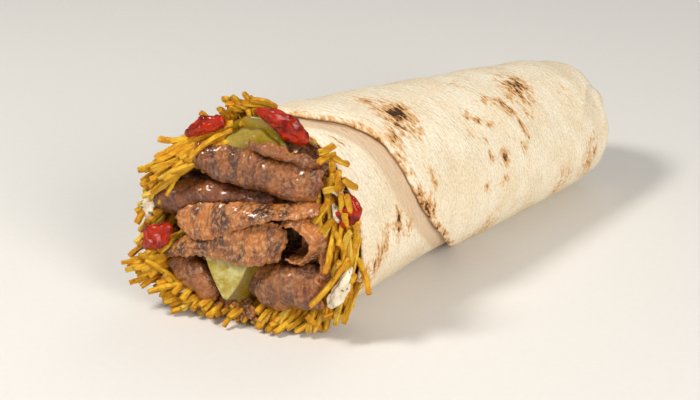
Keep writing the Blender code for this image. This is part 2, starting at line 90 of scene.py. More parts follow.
def addStudio():
    for index, (azimuth, elevation, distance, size, watts, colour) in enumerate(studio["lamps"]):
        lamp = bpy.data.lights.new(f"lamp{index}", "AREA")
        lamp.shape = "DISK"
        lamp.size = size * mm
        lamp.energy = watts
        lamp.color = colour
        aimedAt(linked(f"lamp{index}", lamp), (0, 0, 30), azimuth, elevation, distance)
    world = bpy.data.worlds.new("sky")
    world.use_nodes = True
    world.node_tree.nodes["Background"].inputs["Color"].default_value = (1, 0.99, 0.97, 1)
    world.node_tree.nodes["Background"].inputs["Strength"].default_value = studio["sky"]
    bpy.context.scene.world = world
    bpy.context.scene.view_settings.view_transform = "Standard"
    mesh = bpy.data.meshes.new("floor")
    half = studio["floorHalf"]
    mesh.from_pydata([(-half, -half, 0), (half, -half, 0), (half, half, 0), (-half, half, 0)], [], [(0, 1, 2, 3)])
    floor = linked("floor", mesh)
    paint, tree, shader = newMaterial("paleFloor")
    speckle = patterns(tree, placeInMm(tree), studio["floorGrain"])["speckle"]
    tone = mixed(tree, speckle["Mask"], studio["floor"], [c * 0.985 for c in studio["floor"]])
    dress(tree, shader, {"Base Color": tone, "Roughness": 0.9})
    mesh.materials.append(paint)


# Node helpers and the effects that several finishes share


def feed(tree, socket, value):
    if isinstance(value, bpy.types.NodeSocket):
        tree.links.new(value, socket)
    elif socket.type == "RGBA" and len(value) == 3:
        socket.default_value = (*value, 1)
    else:
        socket.default_value = value


def put(tree, kind, sockets=None, **settings):
    made = tree.nodes.new("ShaderNode" + kind)
    for name, value in settings.items():
        setattr(made, name, value)
    for name, value in (sockets or {}).items():
        feed(tree, made.inputs[name], value)
    return made


def maths(tree, how, first, second):
    made = put(tree, "Math", operation=how)
    feed(tree, made.inputs[0], first)
    feed(tree, made.inputs[1], second)
    return made.outputs[0]


def times(tree, first, second):
    return maths(tree, "MULTIPLY", first, second)


def plus(tree, first, second):
    return maths(tree, "ADD", first, second)


def levels(tree, value, low, high):
    sockets = {"Value": value, "From Min": low, "From Max": high}
    return put(tree, "MapRange", sockets, interpolation_type="SMOOTHSTEP").outputs["Result"]


def between(tree, value, low, high):
    return put(tree, "MapRange", {"Value": value, "To Min": low, "To Max": high}).outputs["Result"]


def mixed(tree, factor, low, high):
    made = put(tree, "Mix", data_type="RGBA")
    for index, value in ((0, factor), (6, low), (7, high)):
        feed(tree, made.inputs[index], value)
    return made.outputs[2]


def attribute(tree, name, output="Fac"):
    return put(tree, "Attribute", attribute_name=name).outputs[output]


def placeInMm(tree):
    made = put(tree, "VectorMath", operation="SCALE")
    feed(tree, made.inputs[0], put(tree, "TexCoord").outputs["Object"])
    feed(tree, made.inputs["Scale"], 1000.0)
    return made.outputs[0]


def bumped(tree, shader, height, distance, strength=1.0):
    made = put(tree, "Bump", {"Height": height, "Distance": distance * mm, "Strength": strength})
    feed(tree, shader.inputs["Normal"], made.outputs["Normal"])


def newMaterial(name):
    made = bpy.data.materials.new(name)
    made.use_nodes = True
    return made, made.node_tree, made.node_tree.nodes["Principled BSDF"]


def dress(tree, shader, sockets):
    for name, value in sockets.items():
        feed(tree, shader.inputs[name], value)


def newGroup(name, sockets, results):
    group = bpy.data.node_groups.new(name, "ShaderNodeTree")
    for label, value in sockets.items():
        kind = "NodeSocketVector" if isinstance(value, tuple) else "NodeSocketFloat"
        group.interface.new_socket(name=label, in_out="INPUT", socket_type=kind).default_value = value
    for label in results:
        group.interface.new_socket(name=label, in_out="OUTPUT", socket_type="NodeSocketFloat")
    return group, group.nodes.new("NodeGroupInput").outputs, group.nodes.new("NodeGroupOutput").inputs


def useGroup(tree, group, **values):
    made = put(tree, "Group", node_tree=group)
    for name, value in values.items():
        feed(tree, made.inputs[name], value)
    return made.outputs


def stretchedTo(tree, vector, perMm):
    made = put(tree, "VectorMath", operation="MULTIPLY")
    feed(tree, made.inputs[0], vector)
    feed(tree, made.inputs[1], perMm)
    return made.outputs[0]


def patterns(tree, vector, wanted):
    # wanted: cycles a millimetre along x, y and z, then detail, low and high, or share and size where it is dots
    made = {}
    for name, row in wanted.items():
        group, labels = (grain, ("Detail", "Low", "High")) if len(row) == 6 else (flecks, ("Share", "Size"))
        made[name] = useGroup(tree, group, Vector=vector, PerMm=row[:3], **dict(zip(labels, row[3:])))
    return made


def layered(tree, tone, made, colours, layers):
    # layers: a pattern's name or another mask, its strength and its colour's name, one over another
    for mask, strength, colour in layers:
        if isinstance(mask, str):
            mask = made[mask]["Mask"]
        tone = mixed(tree, times(tree, mask, strength), tone, colours[colour])
    return tone


def makeGrain():  # cloudy or streaky variation, cut between two levels
    group, given, result = newGroup(
        "grain", {"Vector": (0.0, 0.0, 0.0), "PerMm": (1.0, 1.0, 1.0), "Detail": 3.0, "Low": 0.4, "High": 0.6},
        ("Mask", "Raw"))
    spread = stretchedTo(group, given["Vector"], given["PerMm"])
    cloud = put(group, "TexNoise", {"Vector": spread, "Scale": 1.0, "Detail": given["Detail"], "Roughness": 0.6})
    feed(group, result["Mask"], levels(group, cloud.outputs["Fac"], given["Low"], given["High"]))
    feed(group, result["Raw"], cloud.outputs["Fac"])
    return group


def makeFlecks():  # scattered dots: Share of the cells hold one, up to Size of a cell wide
    group, given, result = newGroup(
        "flecks", {"Vector": (0.0, 0.0, 0.0), "PerMm": (1.0, 1.0, 1.0), "Share": 0.3, "Size": 0.35},
        ("Mask", "Shade"))
    spread = stretchedTo(group, given["Vector"], given["PerMm"])
    wobble = put(group, "TexNoise", {"Vector": spread, "Scale": 2.0, "Detail": 1.0})
    cells = put(group, "TexVoronoi", {"Vector": spread, "Scale": 1.0})
    chance = put(group, "SeparateColor", {"Color": cells.outputs["Color"]})
    reach = times(group, given["Size"], between(group, chance.outputs["Green"], 0.45, 1.0))
    far = plus(group, cells.outputs["Distance"], between(group, wobble.outputs["Fac"], -0.12, 0.12))
    dot = levels(group, maths(group, "SUBTRACT", reach, far), 0.0, 0.08)
    holds = maths(group, "LESS_THAN", chance.outputs["Red"], given["Share"])
    feed(group, result["Mask"], times(group, dot, holds))
    feed(group, result["Shade"], chance.outputs["Blue"])
    return group


grain = makeGrain()
flecks = makeFlecks()
addCamera()
addStudio()
print("camera, light and floor are set")


# Maths and mesh helpers


def blend(a, b, share):
    return a + (b - a) * share


def smooth(value):
    share = min(1.0, max(0.0, value))
    return share * share * (3 - 2 * share)


def curveThrough(points, at):
    if at <= points[0][0]:
        return points[0][1:]
    for index in range(len(points) - 1):
        low, high = points[index], points[index + 1]
        if at > high[0]:
            continue
        before = points[max(0, index - 1)]
        after = points[min(len(points) - 1, index + 2)]
        span = high[0] - low[0]
        t = (at - low[0]) / span
        values = []
        for yBefore, y0, y1, yAfter in zip(before[1:], low[1:], high[1:], after[1:]):
            slope0 = (y1 - yBefore) / (high[0] - before[0]) * span
            slope1 = (yAfter - y0) / (after[0] - low[0]) * span
            values.append((2 * t**3 - 3 * t**2 + 1) * y0 + (t**3 - 2 * t**2 + t) * slope0
                          + (3 * t**2 - 2 * t**3) * y1 + (t**3 - t**2) * slope1)
        return tuple(values)
    return points[-1][1:]


def alongStations(stations, share):
    last = len(stations) - 1
    return curveThrough([(index / last, *station) for index, station in enumerate(stations)], share)


def onFace(right, up, out):
    return faceCentre + faceRight * right + upright * up + faceOut * out


def faceWay(right, up, out):
    return (faceRight * right + upright * up + faceOut * out).normalized()


def cloud(x, y, z=0.0):
    return noise.noise(Vector((x, y, z)))


def meshPiece(name, points, faces, values, finish):
    # values: attribute name to one number, or one triple, for each point
    mesh = bpy.data.meshes.new(name)
    mesh.from_pydata([point * mm for point in points], [], faces)
    for label, numbers in values.items():
        if isinstance(numbers[0], tuple):
            mesh.attributes.new(label, "FLOAT_VECTOR", "POINT").data.foreach_set(
                "vector", [number for triple in numbers for number in triple])
        else:
            mesh.attributes.new(label, "FLOAT", "POINT").data.foreach_set("value", numbers)
    mesh.validate()
    mesh.shade_smooth()
    mesh.materials.append(finish)
    return linked(name, mesh)


def gridFaces(columns, rows, loops=False):
    # columns + 1 points across unless it loops, and rows + 1 along, point by point across first
    wide = columns if loops else columns + 1
    return [(r * wide + c, r * wide + (c + 1) % wide, (r + 1) * wide + (c + 1) % wide, (r + 1) * wide + c)
            for r in range(rows) for c in range(columns)]


def roundIn(turns):
    return [2 * pi * column / turns for column in range(turns)]


def reliefOn(obj, height):
    # height(x, y) of a point's flat place says how far it moves along its normal
    mesh = obj.data
    flat = mesh.attributes["flat"].data
    normals = [Vector(vertex.normal) for vertex in mesh.vertices]
    for vertex, normal, place in zip(mesh.vertices, normals, flat):
        vertex.co += normal * height(place.vector.x, place.vector.y) * mm
    mesh.update()


def thickened(obj, thickness, thinEdge):
    # the edge value, 1 at a cut edge, thins the sheet down to thinEdge of its thickness there
    body = obj.vertex_groups.new(name="body")
    for index, value in enumerate(obj.data.attributes["edge"].data):
        body.add([index], 1 - value.value, "REPLACE")
    modifier = obj.modifiers.new("thickness", "SOLIDIFY")
    modifier.thickness = thickness * mm
    modifier.offset = 0
    modifier.use_even_offset = False
    modifier.vertex_group = "body"
    modifier.thickness_vertex_group = thinEdge
    return obj


def finished(obj, slot, *nodes):
    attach(obj, "root")
    if nodes:
        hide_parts(*nodes)
    return obj


def pieceName(node):
    first, *others = node.split("_")
    return first + "".join(word.capitalize() for word in others)


# The rolled flatbread

wrap = {
    "length": 160, "mouthRadius": 36.5, "endRadius": 25.3, "belly": 0.3, "thickness": 2.1, "turnGap": 0.6,
    "sag": 1.9, "innerEdge": -376, "outerEdge": 300, "farLip": 29, "lipFlare": 1.2,
    "seam": ((-10, -3), (6, 4.7), (22, 16.6), (40, 23.5), (60, 26.8), (78, 29.8), (100, 39), (125, 53), (180, 80),
             (250, 107), (300, 121)),
    "columns": 400, "rows": 112, "shoulder": 13, "foldedIn": 8, "flatRadius": 31, "lean": 0.22,
    "edgeRun": 346.27, "thinning": 3.2, "rimHeat": (0.66, 0.35), "swell": (0.45, 0.22), "pleats": (0.9, 1.1),
    "ridges": 0.45,
    "fold": {"along": 143, "slant": 0.6, "middle": 42, "from": 34, "to": 60, "height": 0.6, "groove": 0.5},
    # scorched places: degrees round, behind the mouth, half size round and along, strength
    "toast": ((26, 38, 11, 8, 1.15), (22, 42, 5, 4, 0.5), (6, 33, 6, 3, 0.6), (40, 29, 5, 3.5, 0.75),
              (26, 104, 9, 7, 1.05), (20, 110, 6, 4, 0.5), (37, 90, 3.6, 2.8, 0.95), (45, 92, 4, 2.2, 0.75),
              (54, 94, 4, 2, 0.65), (62, 95, 3.4, 1.8, 0.6), (49, 101, 3, 2, 0.5), (33, 96, 3, 2, 0.55),
              (30, 84, 3.4, 2.8, 0.9), (37, 69, 2.8, 2.2, 0.8), (43, 73, 2.2, 2, 0.95), (48, 78, 2.2, 2, 1.05),
              (50, 66, 2.4, 2, 0.65), (57, 71, 2, 1.6, 0.6),
              (72, 79, 4, 3.6, 1.1), (69, 71, 3.5, 2, 0.7), (70, 91, 2.6, 2.2, 0.85), (86, 67, 3.5, 3, 0.6),
              (87, 78, 3, 2.5, 0.6), (69, 38, 5, 2.6, 0.6), (75, 30, 4.5, 2.4, 0.7), (84, 34.5, 5, 2.6, 0.9),
              (10, 79, 6, 5, 0.35), (39, 128, 8, 6, 0.3), (104, 136, 14, 7, 0.6), (112, 118, 12, 8, 0.45),
              (128, 74, 14, 9, 0.5), (-40, 60, 14, 10, 0.9), (-70, 105, 12, 9, 0.85), (-95, 40, 10, 8, 0.8),
              (-120, 84, 12, 9, 0.8), (-30, 122, 9, 7, 0.6), (-268, 20, 6, 3, 0.85), (-267, 26, 6, 2.6, 0.75),
              (-278, 20, 5, 2.4, 0.6), (-264, 13, 8, 2.6, 0.85), (-252, 9, 9, 3, 0.9), (-241, 3, 10, 4, 0.8),
              (-330, 8, 8, 4, 0.4)),
}


def rollRadius(along):
    share = along / wrap["length"]
    straight = blend(wrap["mouthRadius"], wrap["endRadius"], share)
    return straight + wrap["belly"] * sin(pi * min(1, max(0, share)))


def breadFront(angle):
    if angle < wrap["seam"][0][0]:
        return -wrap["farLip"] * max(0.0, -sin(radians(angle))) ** 1.3
    return curveThrough(wrap["seam"], angle)[0]


def outermost(angle):  # 1 on the turn that shows, 0 on those under it
    return smooth((angle - wrap["outerEdge"] + 375) / 40)


def breadEnd(angle):  # how far the sheet runs, over the shoulder and in on the turn that shows
    under = wrap["length"] - 12
    over = wrap["length"] - wrap["shoulder"] + wrap["shoulder"] * pi / 2 + wrap["foldedIn"]
    over += 3.2 * sin(radians(angle * 2 + 40)) + 2.2 * cloud(angle / 26, 4.1)
    return blend(under, over, outermost(angle))


def coveredBy(angle, along):  # 1 where another turn lies over this one
    over = min(angle + 360, wrap["outerEdge"])
    reach = 45
    pastEdge = smooth((angle + 360 - wrap["outerEdge"]) / reach)
    return smooth((along - breadFront(over) + 5 + reach) / reach) * (1 - pastEdge)


def breadDepth(angle, along):
    lip = 1 - smooth((along - breadFront(angle)) / 14)
    flare = wrap["lipFlare"] * lip * smooth((wrap["seam"][0][0] - angle) / 30) * max(0.0, -sin(radians(angle)))
    tuck = 1.6 * smooth((along - wrap["length"] + 32) / 18) ** 2
    under = coveredBy(angle, along)
    laid = 1.2 * smooth((angle - wrap["outerEdge"] + 16) / 16)
    return under * (wrap["thickness"] + wrap["turnGap"]) - flare * (1 - under) + tuck + laid


def rollPoint(turn, along, depth):
    # past the shoulder, along is the way over it and in towards the middle of the end
    start = wrap["length"] - wrap["shoulder"]
    past = max(0.0, along - start)
    bend = min(pi / 2, past / wrap["shoulder"])
    inward = wrap["shoulder"] * (1 - cos(bend)) + max(0.0, past - wrap["shoulder"] * pi / 2)
    radius = rollRadius(min(along, start))
    reach = radius - inward - depth * cos(bend)
    x = min(along, start) + (wrap["shoulder"] - 0.8 - depth) * sin(bend)
    height = max(radius - wrap["sag"] + reach * cos(turn), wrap["thickness"] / 2, depth * cos(bend))
    return mouthAt + Vector((x, -reach * sin(turn), height))


def toastAt(angle, along):
    heat = 0.0
    for markAngle, markAlong, halfRound, halfAlong, strength in wrap["toast"]:
        acrossIt = radians(angle - markAngle) * rollRadius(along) / halfRound
        alongIt = (along - markAlong) / halfAlong
        far = 1.25 * (acrossIt * acrossIt + alongIt * alongIt)
        if far < 6:
            heat += 0.92 * strength * exp(-far)
    return heat


def foldDepth(angle, along):  # a small fold that runs aslant near the far end
    fold = wrap["fold"]
    past = along - fold["along"] + fold["slant"] * (angle - fold["middle"])
    depth = fold["height"] * smooth(past / 2.5) * (1 - smooth((past - 6) / 10))
    depth -= fold["groove"] * exp(-(past / 1.8) ** 2)
    return depth * smooth((angle - fold["from"]) / 6) * (1 - smooth((angle - fold["to"]) / 10))


def reliefDepth(angle, along, front):
    # swells and the small fold, pleats over the shoulder and ridges along the seam's top
    x = radians(angle) * wrap["flatRadius"]
    swell = wrap["swell"][0] * cloud(x / 17, along / 11, 2.0)
    swell += wrap["swell"][1] * cloud(x / 9 + 4, (along + x * 0.15) / 4.2, 5.0)
    over = smooth((along - wrap["length"] + 14) / 16) * outermost(angle)
    pleats = wrap["pleats"][0] * sin(radians(angle) * 9 + 1.5 * cloud(angle / 40, 8.0))
    pleats += wrap["pleats"][1] * cloud(angle / 14, along / 9, 3.0)
    seamTop = smooth((angle + 30) / 18) * (1 - smooth((angle - 55) / 30))
    ridges = wrap["ridges"] * sin((along - front) * 1.5 + 2 * cloud(angle / 20, 6.0))
    ridges *= 1 - smooth((along - front) / 12)
    depth = -swell * (1 - coveredBy(angle, along)) + over * (1.5 - pleats * 0.7) - ridges * seamTop
    return depth + foldDepth(angle, along)


def rimToast(angle, along, front):
    flap = smooth((angle + 12) / 18) * (1 - smooth((angle - 150) / 40))
    onFlap, under = wrap["rimHeat"]
    heat = onFlap * (1 - smooth((along - front) / 6)) * flap
    heat += under * (1 - smooth((along - front) / 3)) * (1 - flap)
    return heat * (0.75 + 0.9 * cloud(angle / 7, along / 9, 4.0))


def makeBread(finish):
    columns, rows = wrap["columns"], wrap["rows"]
    points, flat, toast, edge, crease = [], [], [], [], []
    for row in range(rows + 1):
        for column in range(columns + 1):
            share = column / columns
            angle = blend(wrap["innerEdge"], wrap["outerEdge"], share)
            front, back = breadFront(angle), breadEnd(angle)
            front += 0.7 * cloud(angle / 9, 1.3) + 0.4 * cloud(angle / 3.5, 7.7)  # uneven edge
            along = blend(front, back, row / rows)
            depth = breadDepth(angle, along) + wrap["thickness"] / 2 + reliefDepth(angle, along, front)
            points.append(rollPoint(radians(angle), along, depth))
            x = radians(angle) * wrap["flatRadius"]
            flat.append((x, along - wrap["lean"] * x, 0.0))
            near = min(along - front, min(share, 1 - share) * wrap["edgeRun"], (back - along) * 1.2)
            edge.append(1 - smooth(near / wrap["thinning"]))
            toast.append(toastAt(angle, along) + rimToast(angle, along, front))
            # painted shadow: a darker band on the turn beneath, just in front of and under the outer flap's edge
            underEdge = along - breadFront(angle + 360) if angle + 360 < wrap["outerEdge"] else -99
            crease.append(smooth((underEdge + 9.5) / 2.5) * smooth((angle + 385) / 12) * 0.85)
    values = {"flat": flat, "toast": toast, "edge": edge, "crease": crease}
    bread = meshPiece("flatbreadWrap", points, gridFaces(columns, rows), values, finish)
    thickened(bread, wrap["thickness"], 0.45)
    return finished(bread, "toasted_flatbread", "flatbread")


closedEnd = {
    "radiusAt": 8, "starts": 14, "turns": 96, "rows": 26, "inset": 3.4, "flatBack": 3.0, "thickness": 1.8,
}


def makeClosedEnd(finish):
    # the inner folds of the tucked end, seen in the middle of it
    turns, rows, starts = closedEnd["turns"], closedEnd["rows"], closedEnd["starts"]
    full = rollRadius(wrap["length"] - closedEnd["radiusAt"])
    points, flat, toast = [], [], []
    for row in range(rows + 1):
        share = 1 - row / rows
        radius = (full - closedEnd["inset"]) * share
        for turn in roundIn(turns):
            lobe = 0.9 * sin(turn * 5 + share * 4.5 + 0.6)
            lobe += 0.8 * cloud(cos(turn) * 2, sin(turn) * 2, share * 2.5)
            bulge = sqrt(max(0.0, 1 - share ** 4)) * (starts - closedEnd["flatBack"])
            x = wrap["length"] - starts + bulge + lobe * min(1, share * 2.5) * (1 - share ** 6)
            height = max(full - wrap["sag"] + radius * cos(turn), 1.5)
            points.append(mouthAt + Vector((x, -radius * sin(turn), height)))
            flat.append((share * 24, turn * 12, 0.0))
            toast.append(0.35 * max(0.0, lobe) * smooth(share * 3) + 0.15)
    values = {"flat": flat, "toast": toast, "edge": [0.0] * len(points)}
    end = meshPiece("tuckedEnd", points, gridFaces(turns, rows, True), values, finish)
    thickened(end, closedEnd["thickness"], 1.0)
    return finished(end, "toasted_flatbread", "flatbread")


breadColours = {
    "cream": (0.83, 0.68, 0.45), "flour": (0.90, 0.80, 0.61), "blush": (0.76, 0.52, 0.31),
    "crack": (0.50, 0.34, 0.19), "shaded": (0.60, 0.395, 0.235),
    "golden": (0.66, 0.35, 0.115), "brown": (0.33, 0.120, 0.022), "char": (0.030, 0.012, 0.006),
    "pit": (0.44, 0.35, 0.20), "dust": (1.0, 0.95, 0.84),
}
breadPatterns = {
    "patches": (0.06, 0.08, 1, 3, 0.38, 0.64), "blush": (0.035, 0.055, 1, 2, 0.48, 0.78),
    "cracks": (0.16, 0.95, 1, 4, 0.53, 0.70), "lines": (0.34, 2.3, 1, 3, 0.50, 0.68),
    "fine": (0.85, 1.5, 1, 4, 0.34, 0.58), "streaks": (0.20, 0.42, 1, 5, 0.30, 0.70),
    "specks": (0.55, 0.95, 1, 4, 0.30, 0.70), "blisters": (0.20, 0.34, 1, 2, 0.54, 0.72),
    "dots": (0.34, 0.62, 1, 0.20, 0.26),
}


def breadFinish():
    finish, tree, shader = newMaterial("toastedFlatbread")
    colours = breadColours
    made = patterns(tree, attribute(tree, "flat", "Vector"), breadPatterns)
    tone = mixed(tree, made["patches"]["Mask"], colours["cream"], colours["flour"])
    tone = layered(tree, tone, made, colours, (
        ("blush", 0.28, "blush"), ("cracks", 0.34, "crack"), ("lines", 0.26, "crack"),
        ("dots", between(tree, made["dots"]["Shade"], 0.1, 0.75), "golden")))
    tone = mixed(tree, 0.26, tone, mixed(tree, made["fine"]["Mask"], colours["pit"], colours["dust"]))
    toast = attribute(tree, "toast")
    streaks = between(tree, made["streaks"]["Raw"], -1.35, 1.35)
    ragged = plus(tree, streaks, between(tree, made["specks"]["Raw"], -1.25, 1.25))
    heat = plus(tree, toast, times(tree, ragged, levels(tree, toast, 0.02, 0.35)))
    tone = layered(tree, tone, made, colours, (
        # painted shade: the outer flap's shadow on the turn beneath, mixed in the shaded colour
        (attribute(tree, "crease"), between(tree, made["patches"]["Raw"], 0.5, 0.95), "shaded"),
        (levels(tree, heat, 0.16, 0.72), 0.85, "golden"), (levels(tree, heat, 0.70, 1.10), 0.85, "brown"),
        (levels(tree, heat, 0.94, 1.28), 0.95, "char")))
    height = plus(tree, made["cracks"]["Raw"], times(tree, made["lines"]["Raw"], 0.45))
    height = plus(tree, height, times(tree, made["fine"]["Raw"], 0.42))
    height = plus(tree, height, times(tree, made["blisters"]["Mask"], 0.5))
    roughness = between(tree, made["fine"]["Raw"], 0.62, 0.86)
    dress(tree, shader, {"Base Color": tone, "Roughness": roughness, "Specular IOR Level": 0.25})
    bumped(tree, shader, height, 0.45, 0.9)
    return finish


bread = breadFinish()
makeBread(bread)
makeClosedEnd(bread)
print("the flatbread is rolled")


# The filling bed, which the straws and slices stand on, painted dark as shade deep in the gaps between them

bed = {
    "turns": 120, "back": 133.6, "clearance": 1.2, "sunk": 1.6,
    "dish": ((1.0, -6), (1.0, -3), (0.97, -1.6), (0.92, -1.4), (0.86, -2.6), (0.80, -5), (0.6, -7.5), (0.4, -8),
             (0.2, -8), (0.02, -8)),
    "dark": (0.060, 0.022, 0.008), "warm": (0.30, 0.12, 0.03), "gold": (0.62, 0.33, 0.04),
    "patterns": {"shreds": (0.35, 0.35, 0.9, 3, 0.42, 0.62), "strands": (0.55, 0.55, 0.22, 2, 0.60, 0.68)},
}


def roomInside(turn, along):
    angle = degrees(turn) % 360
    if angle - 360 >= wrap["innerEdge"]:
        angle -= 360
    return breadDepth(angle, max(along, breadFront(angle))) + wrap["thickness"]


def makeBed(finish):
    turns = bed["turns"]
    rings = [(bed["back"], 0.02), (bed["back"] - 0.4, 0.9)]
    rings += [(bed["back"] * (1 - step / 12), 1.0) for step in range(1, 12)]
    dish = []
    for (shareA, outA), (shareB, outB) in zip(bed["dish"], bed["dish"][1:]):
        dish += [(blend(shareA, shareB, part / 4), blend(outA, outB, part / 4)) for part in range(4)]
    dish.append(bed["dish"][-1])
    points, flat = [], []
    for along, share in rings:
        for turn in roundIn(turns):
            depth = roomInside(turn, along) + bed["clearance"] + bed["sunk"] * 0.4
            points.append(rollPoint(turn, along, rollRadius(along) - (rollRadius(along) - depth) * share))
            flat.append((turn * 30, along, 0.0))
    for share, out in dish:
        for turn in roundIn(turns):
            near = turn if turn < pi else turn - 2 * pi
            level = out - 5 * smooth(share * 2 - 1) * smooth(1.4 - abs(near - 0.05) / 0.6) - bed["sunk"]
            level += 1.5 * cloud(cos(turn) * share * 9, sin(turn) * share * 9, 1.0) * smooth(share * 3)
            radius = (rollRadius(0) - roomInside(turn, 0) - bed["clearance"]) * share
            side = radius * sin(turn)
            rise = max(radius * cos(turn) + rollRadius(0) - wrap["sag"], wrap["thickness"] + bed["clearance"])
            slant = -15 + side / -faceRight.y * faceRight.x
            points.append(mouthAt + Vector((slant + faceOut.x * level, -side, rise)))
            flat.append((turn * 30, share * 36 + 200, 0.0))
    faces = gridFaces(turns, len(rings) + len(dish) - 1, True)
    piece = meshPiece("fillingBed", points, faces, {"flat": flat}, finish)
    return finished(piece, "potato_straws", "potato_straws")


def bedFinish():
    finish, tree, shader = newMaterial("shadedFilling")
    made = patterns(tree, placeInMm(tree), bed["patterns"])
    # painted shade: the bed's dark browns stand in for the shadow deep inside the filling
    tone = mixed(tree, made["shreds"]["Mask"], bed["dark"], bed["warm"])
    tone = layered(tree, tone, made, bed, (("strands", 0.6, "gold"),))
    dress(tree, shader, {"Base Color": tone, "Roughness": between(tree, made["shreds"]["Raw"], 0.35, 0.75)})
    bumped(tree, shader, made["shreds"]["Raw"], 1.2)
    return finish


makeBed(bedFinish())
print("the filling bed is in")


# Slices of beef

rolledBeef = {  # stations of right, up, out, half height and half depth; arc in degrees; thickness
    "beef_top_roll": (((-18.5, 23.0, 3.4, 5.4, 4.8), (-10, 22.9, 4.2, 6.6, 6), (-2, 21.8, 4.2, 6.9, 6.4),
        (6, 20.6, 4, 7.0, 6.4), (15, 19.6, 3.4, 6.9, 6.2), (26, 18.9, 2, 6.7, 5.6)), (-165, 140), 2.3),
    "beef_side_roll": (((-33, 2.5, 2, 4.2, 4), (-29, 5.2, 3.5, 5.3, 5), (-21, 7.8, 4, 5.3, 5.2),
        (-13, 9.4, 4.2, 4.8, 5), (-5, 9.8, 3.4, 3.8, 4.2), (1.5, 10.4, 2.6, 3.0, 3.4),
        (8, 10.8, 1.8, 2.6, 3.0)), (-160, 145), 1.8),
    "beef_top_curl": (((2.5, 31.6, 3.4, 4.4, 5), (9, 31.6, 3.6, 4.8, 5.8), (17, 29.8, 2.6, 4.4, 5.6),
        (26, 27.6, 0.6, 3.2, 4)), (-218, 22), 1.6),
    "beef_low_left": (((-29, -17.5, 5, 3.0, 3.2), (-23, -19, 6.5, 5.5, 4.5), (-16.5, -22.3, 7, 6.2, 5),
        (-11.5, -25.5, 6, 4.5, 4)), (-150, 150), 2.1),
    "beef_low_right": (((1.5, -21.3, 4, 4.4, 4), (6.5, -19.4, 6, 7.0, 5), (13, -18.4, 7.6, 8.0, 5.5),
        (20, -17.4, 7.5, 8.4, 5.5), (27, -16.8, 5.5, 8.0, 4.5)), (-150, 150), 2.3),
    "beef_open_curl": (((17, 0, -7, 5.2, 5.6), (18.6, 0.6, -2, 9.4, 9.8), (19.4, 0.8, 4, 10.6, 10.4),
        (18.2, -0.2, 11.2, 7.4, 7.4)), (52, 292), 1.7),
}
flatBeef = {  # stations of right, up, out and half width, with the direction of the width; thickness
    "beef_upper_fold": (((-23.8, 1.8, 10.5, 2.4, 0, 1, -0.2), (-18, 1.9, 11.4, 5.6, 0, 1, -0.3),
        (-11.5, 3.2, 12, 6.3, 0, 1, -0.3), (-5, 5.5, 11.8, 5.0, 0, 0.92, -0.38),
        (3, 7.9, 11, 4.2, 0, 0.72, -0.69), (11, 9.9, 9.8, 3.9, 0, 0.42, -0.9),
        (19, 11.5, 8.4, 3.7, 0, 0.25, -0.96), (27, 12.8, 7, 3.4, 0, 0.12, -0.99)), 2.1),
    "beef_lower_fold": (((-29.2, -12.4, 9.5, 1.8, 0, 1, -0.3), (-22, -8.4, 10.7, 3.4, 0, 1, -0.5),
        (-15, -5.6, 11.4, 4.3, 0, 1, -0.5), (-8, -4.2, 12, 5.4, 0, 1, -0.4), (0, -3.0, 12.4, 6.6, 0, 1, -0.3),
        (6, -1.8, 12.4, 7.4, 0.1, 1, -0.25), (11.5, -1.2, 11.6, 7.2, 0.2, 1, -0.2),
        (14, -3.5, 9, 5.2, 0.3, 1, -0.2)), 2.1),
    "beef_right_fold": (((19, 10.5, 5, 3.6, -0.2, -0.6, 0.8), (25, 8, 5.5, 3.6, -0.4, -0.3, 0.85),
        (28.3, 1, 6, 3.8, -0.5, 0, 0.85), (29, -8, 6, 3.8, -0.5, 0, 0.85),
        (28.5, -16, 5, 3.4, -0.5, 0, 0.85)), 2.4),
}
beefMesh = {"along": 110, "across": 84, "lump": 0.45, "grit": 0.22, "rib": 0.28, "flatRib": 0.10, "ragged": 1.4}


def centreLine(stations):
    # the point and the direction at a share of the way along, and the length
    def middle(share):
        return onFace(*alongStations(stations, share)[:3])

    def heading(share):
        return (middle(min(1, share + 0.02)) - middle(max(0, share - 0.02))).normalized()

    return middle, heading, sum((middle((step + 1) / 8) - middle(step / 8)).length for step in range(8))


def sectionAt(run, lead):
    up = (lead - run * lead.dot(run)).normalized()
    return run.cross(up), up


def beefRelief(seed, rib):
    def height(x, y):
        lump = cloud(x / 8 + seed, y / 5.5, seed) * beefMesh["lump"]
        knots = cloud(x / 2.4 + seed, y / 2.1, seed * 2) * beefMesh["grit"]
        knots += cloud(x / 1.7 + seed, y / 8, seed * 3) * rib
        return lump + knots + cloud(x / 1.1, y / 1.1, seed) * beefMesh["grit"] * 0.5
    return height


def makeSlice(node, place, length, width, thickness, seed, rib, finish):
    # place(share, acrossShare, growEnd, growSide) gives a point; the cut edges are ragged
    along, across, ragged = beefMesh["along"], beefMesh["across"], beefMesh["ragged"]
    points, flat, edge = [], [], []
    for row in range(across + 1):
        for column in range(along + 1):
            share, side = column / along, row / across
            x, y = share * length, side * width
            growEnd = ragged * (cloud(y / 3.0, seed, share * 2) + 0.5 * cloud(y / 1.1, seed))
            growSide = ragged * (cloud(x / 3.4, seed + 5, side * 2) + 0.5 * cloud(x / 1.2, seed))
            growEnd *= abs(2 * share - 1) ** 8
            growSide *= abs(2 * side - 1) ** 6
            points.append(place(share, side, growEnd, growSide))
            flat.append((x, y, seed))
            edge.append(1 - smooth(min(x, length - x, y, width - y) / 1.6))
    values = {"flat": flat, "edge": edge}
    piece = meshPiece(pieceName(node), points, gridFaces(along, across), values, finish)
    reliefOn(piece, beefRelief(seed, rib))
    thickened(piece, thickness, 0.35)
    return finished(piece, "grilled_beef", node)


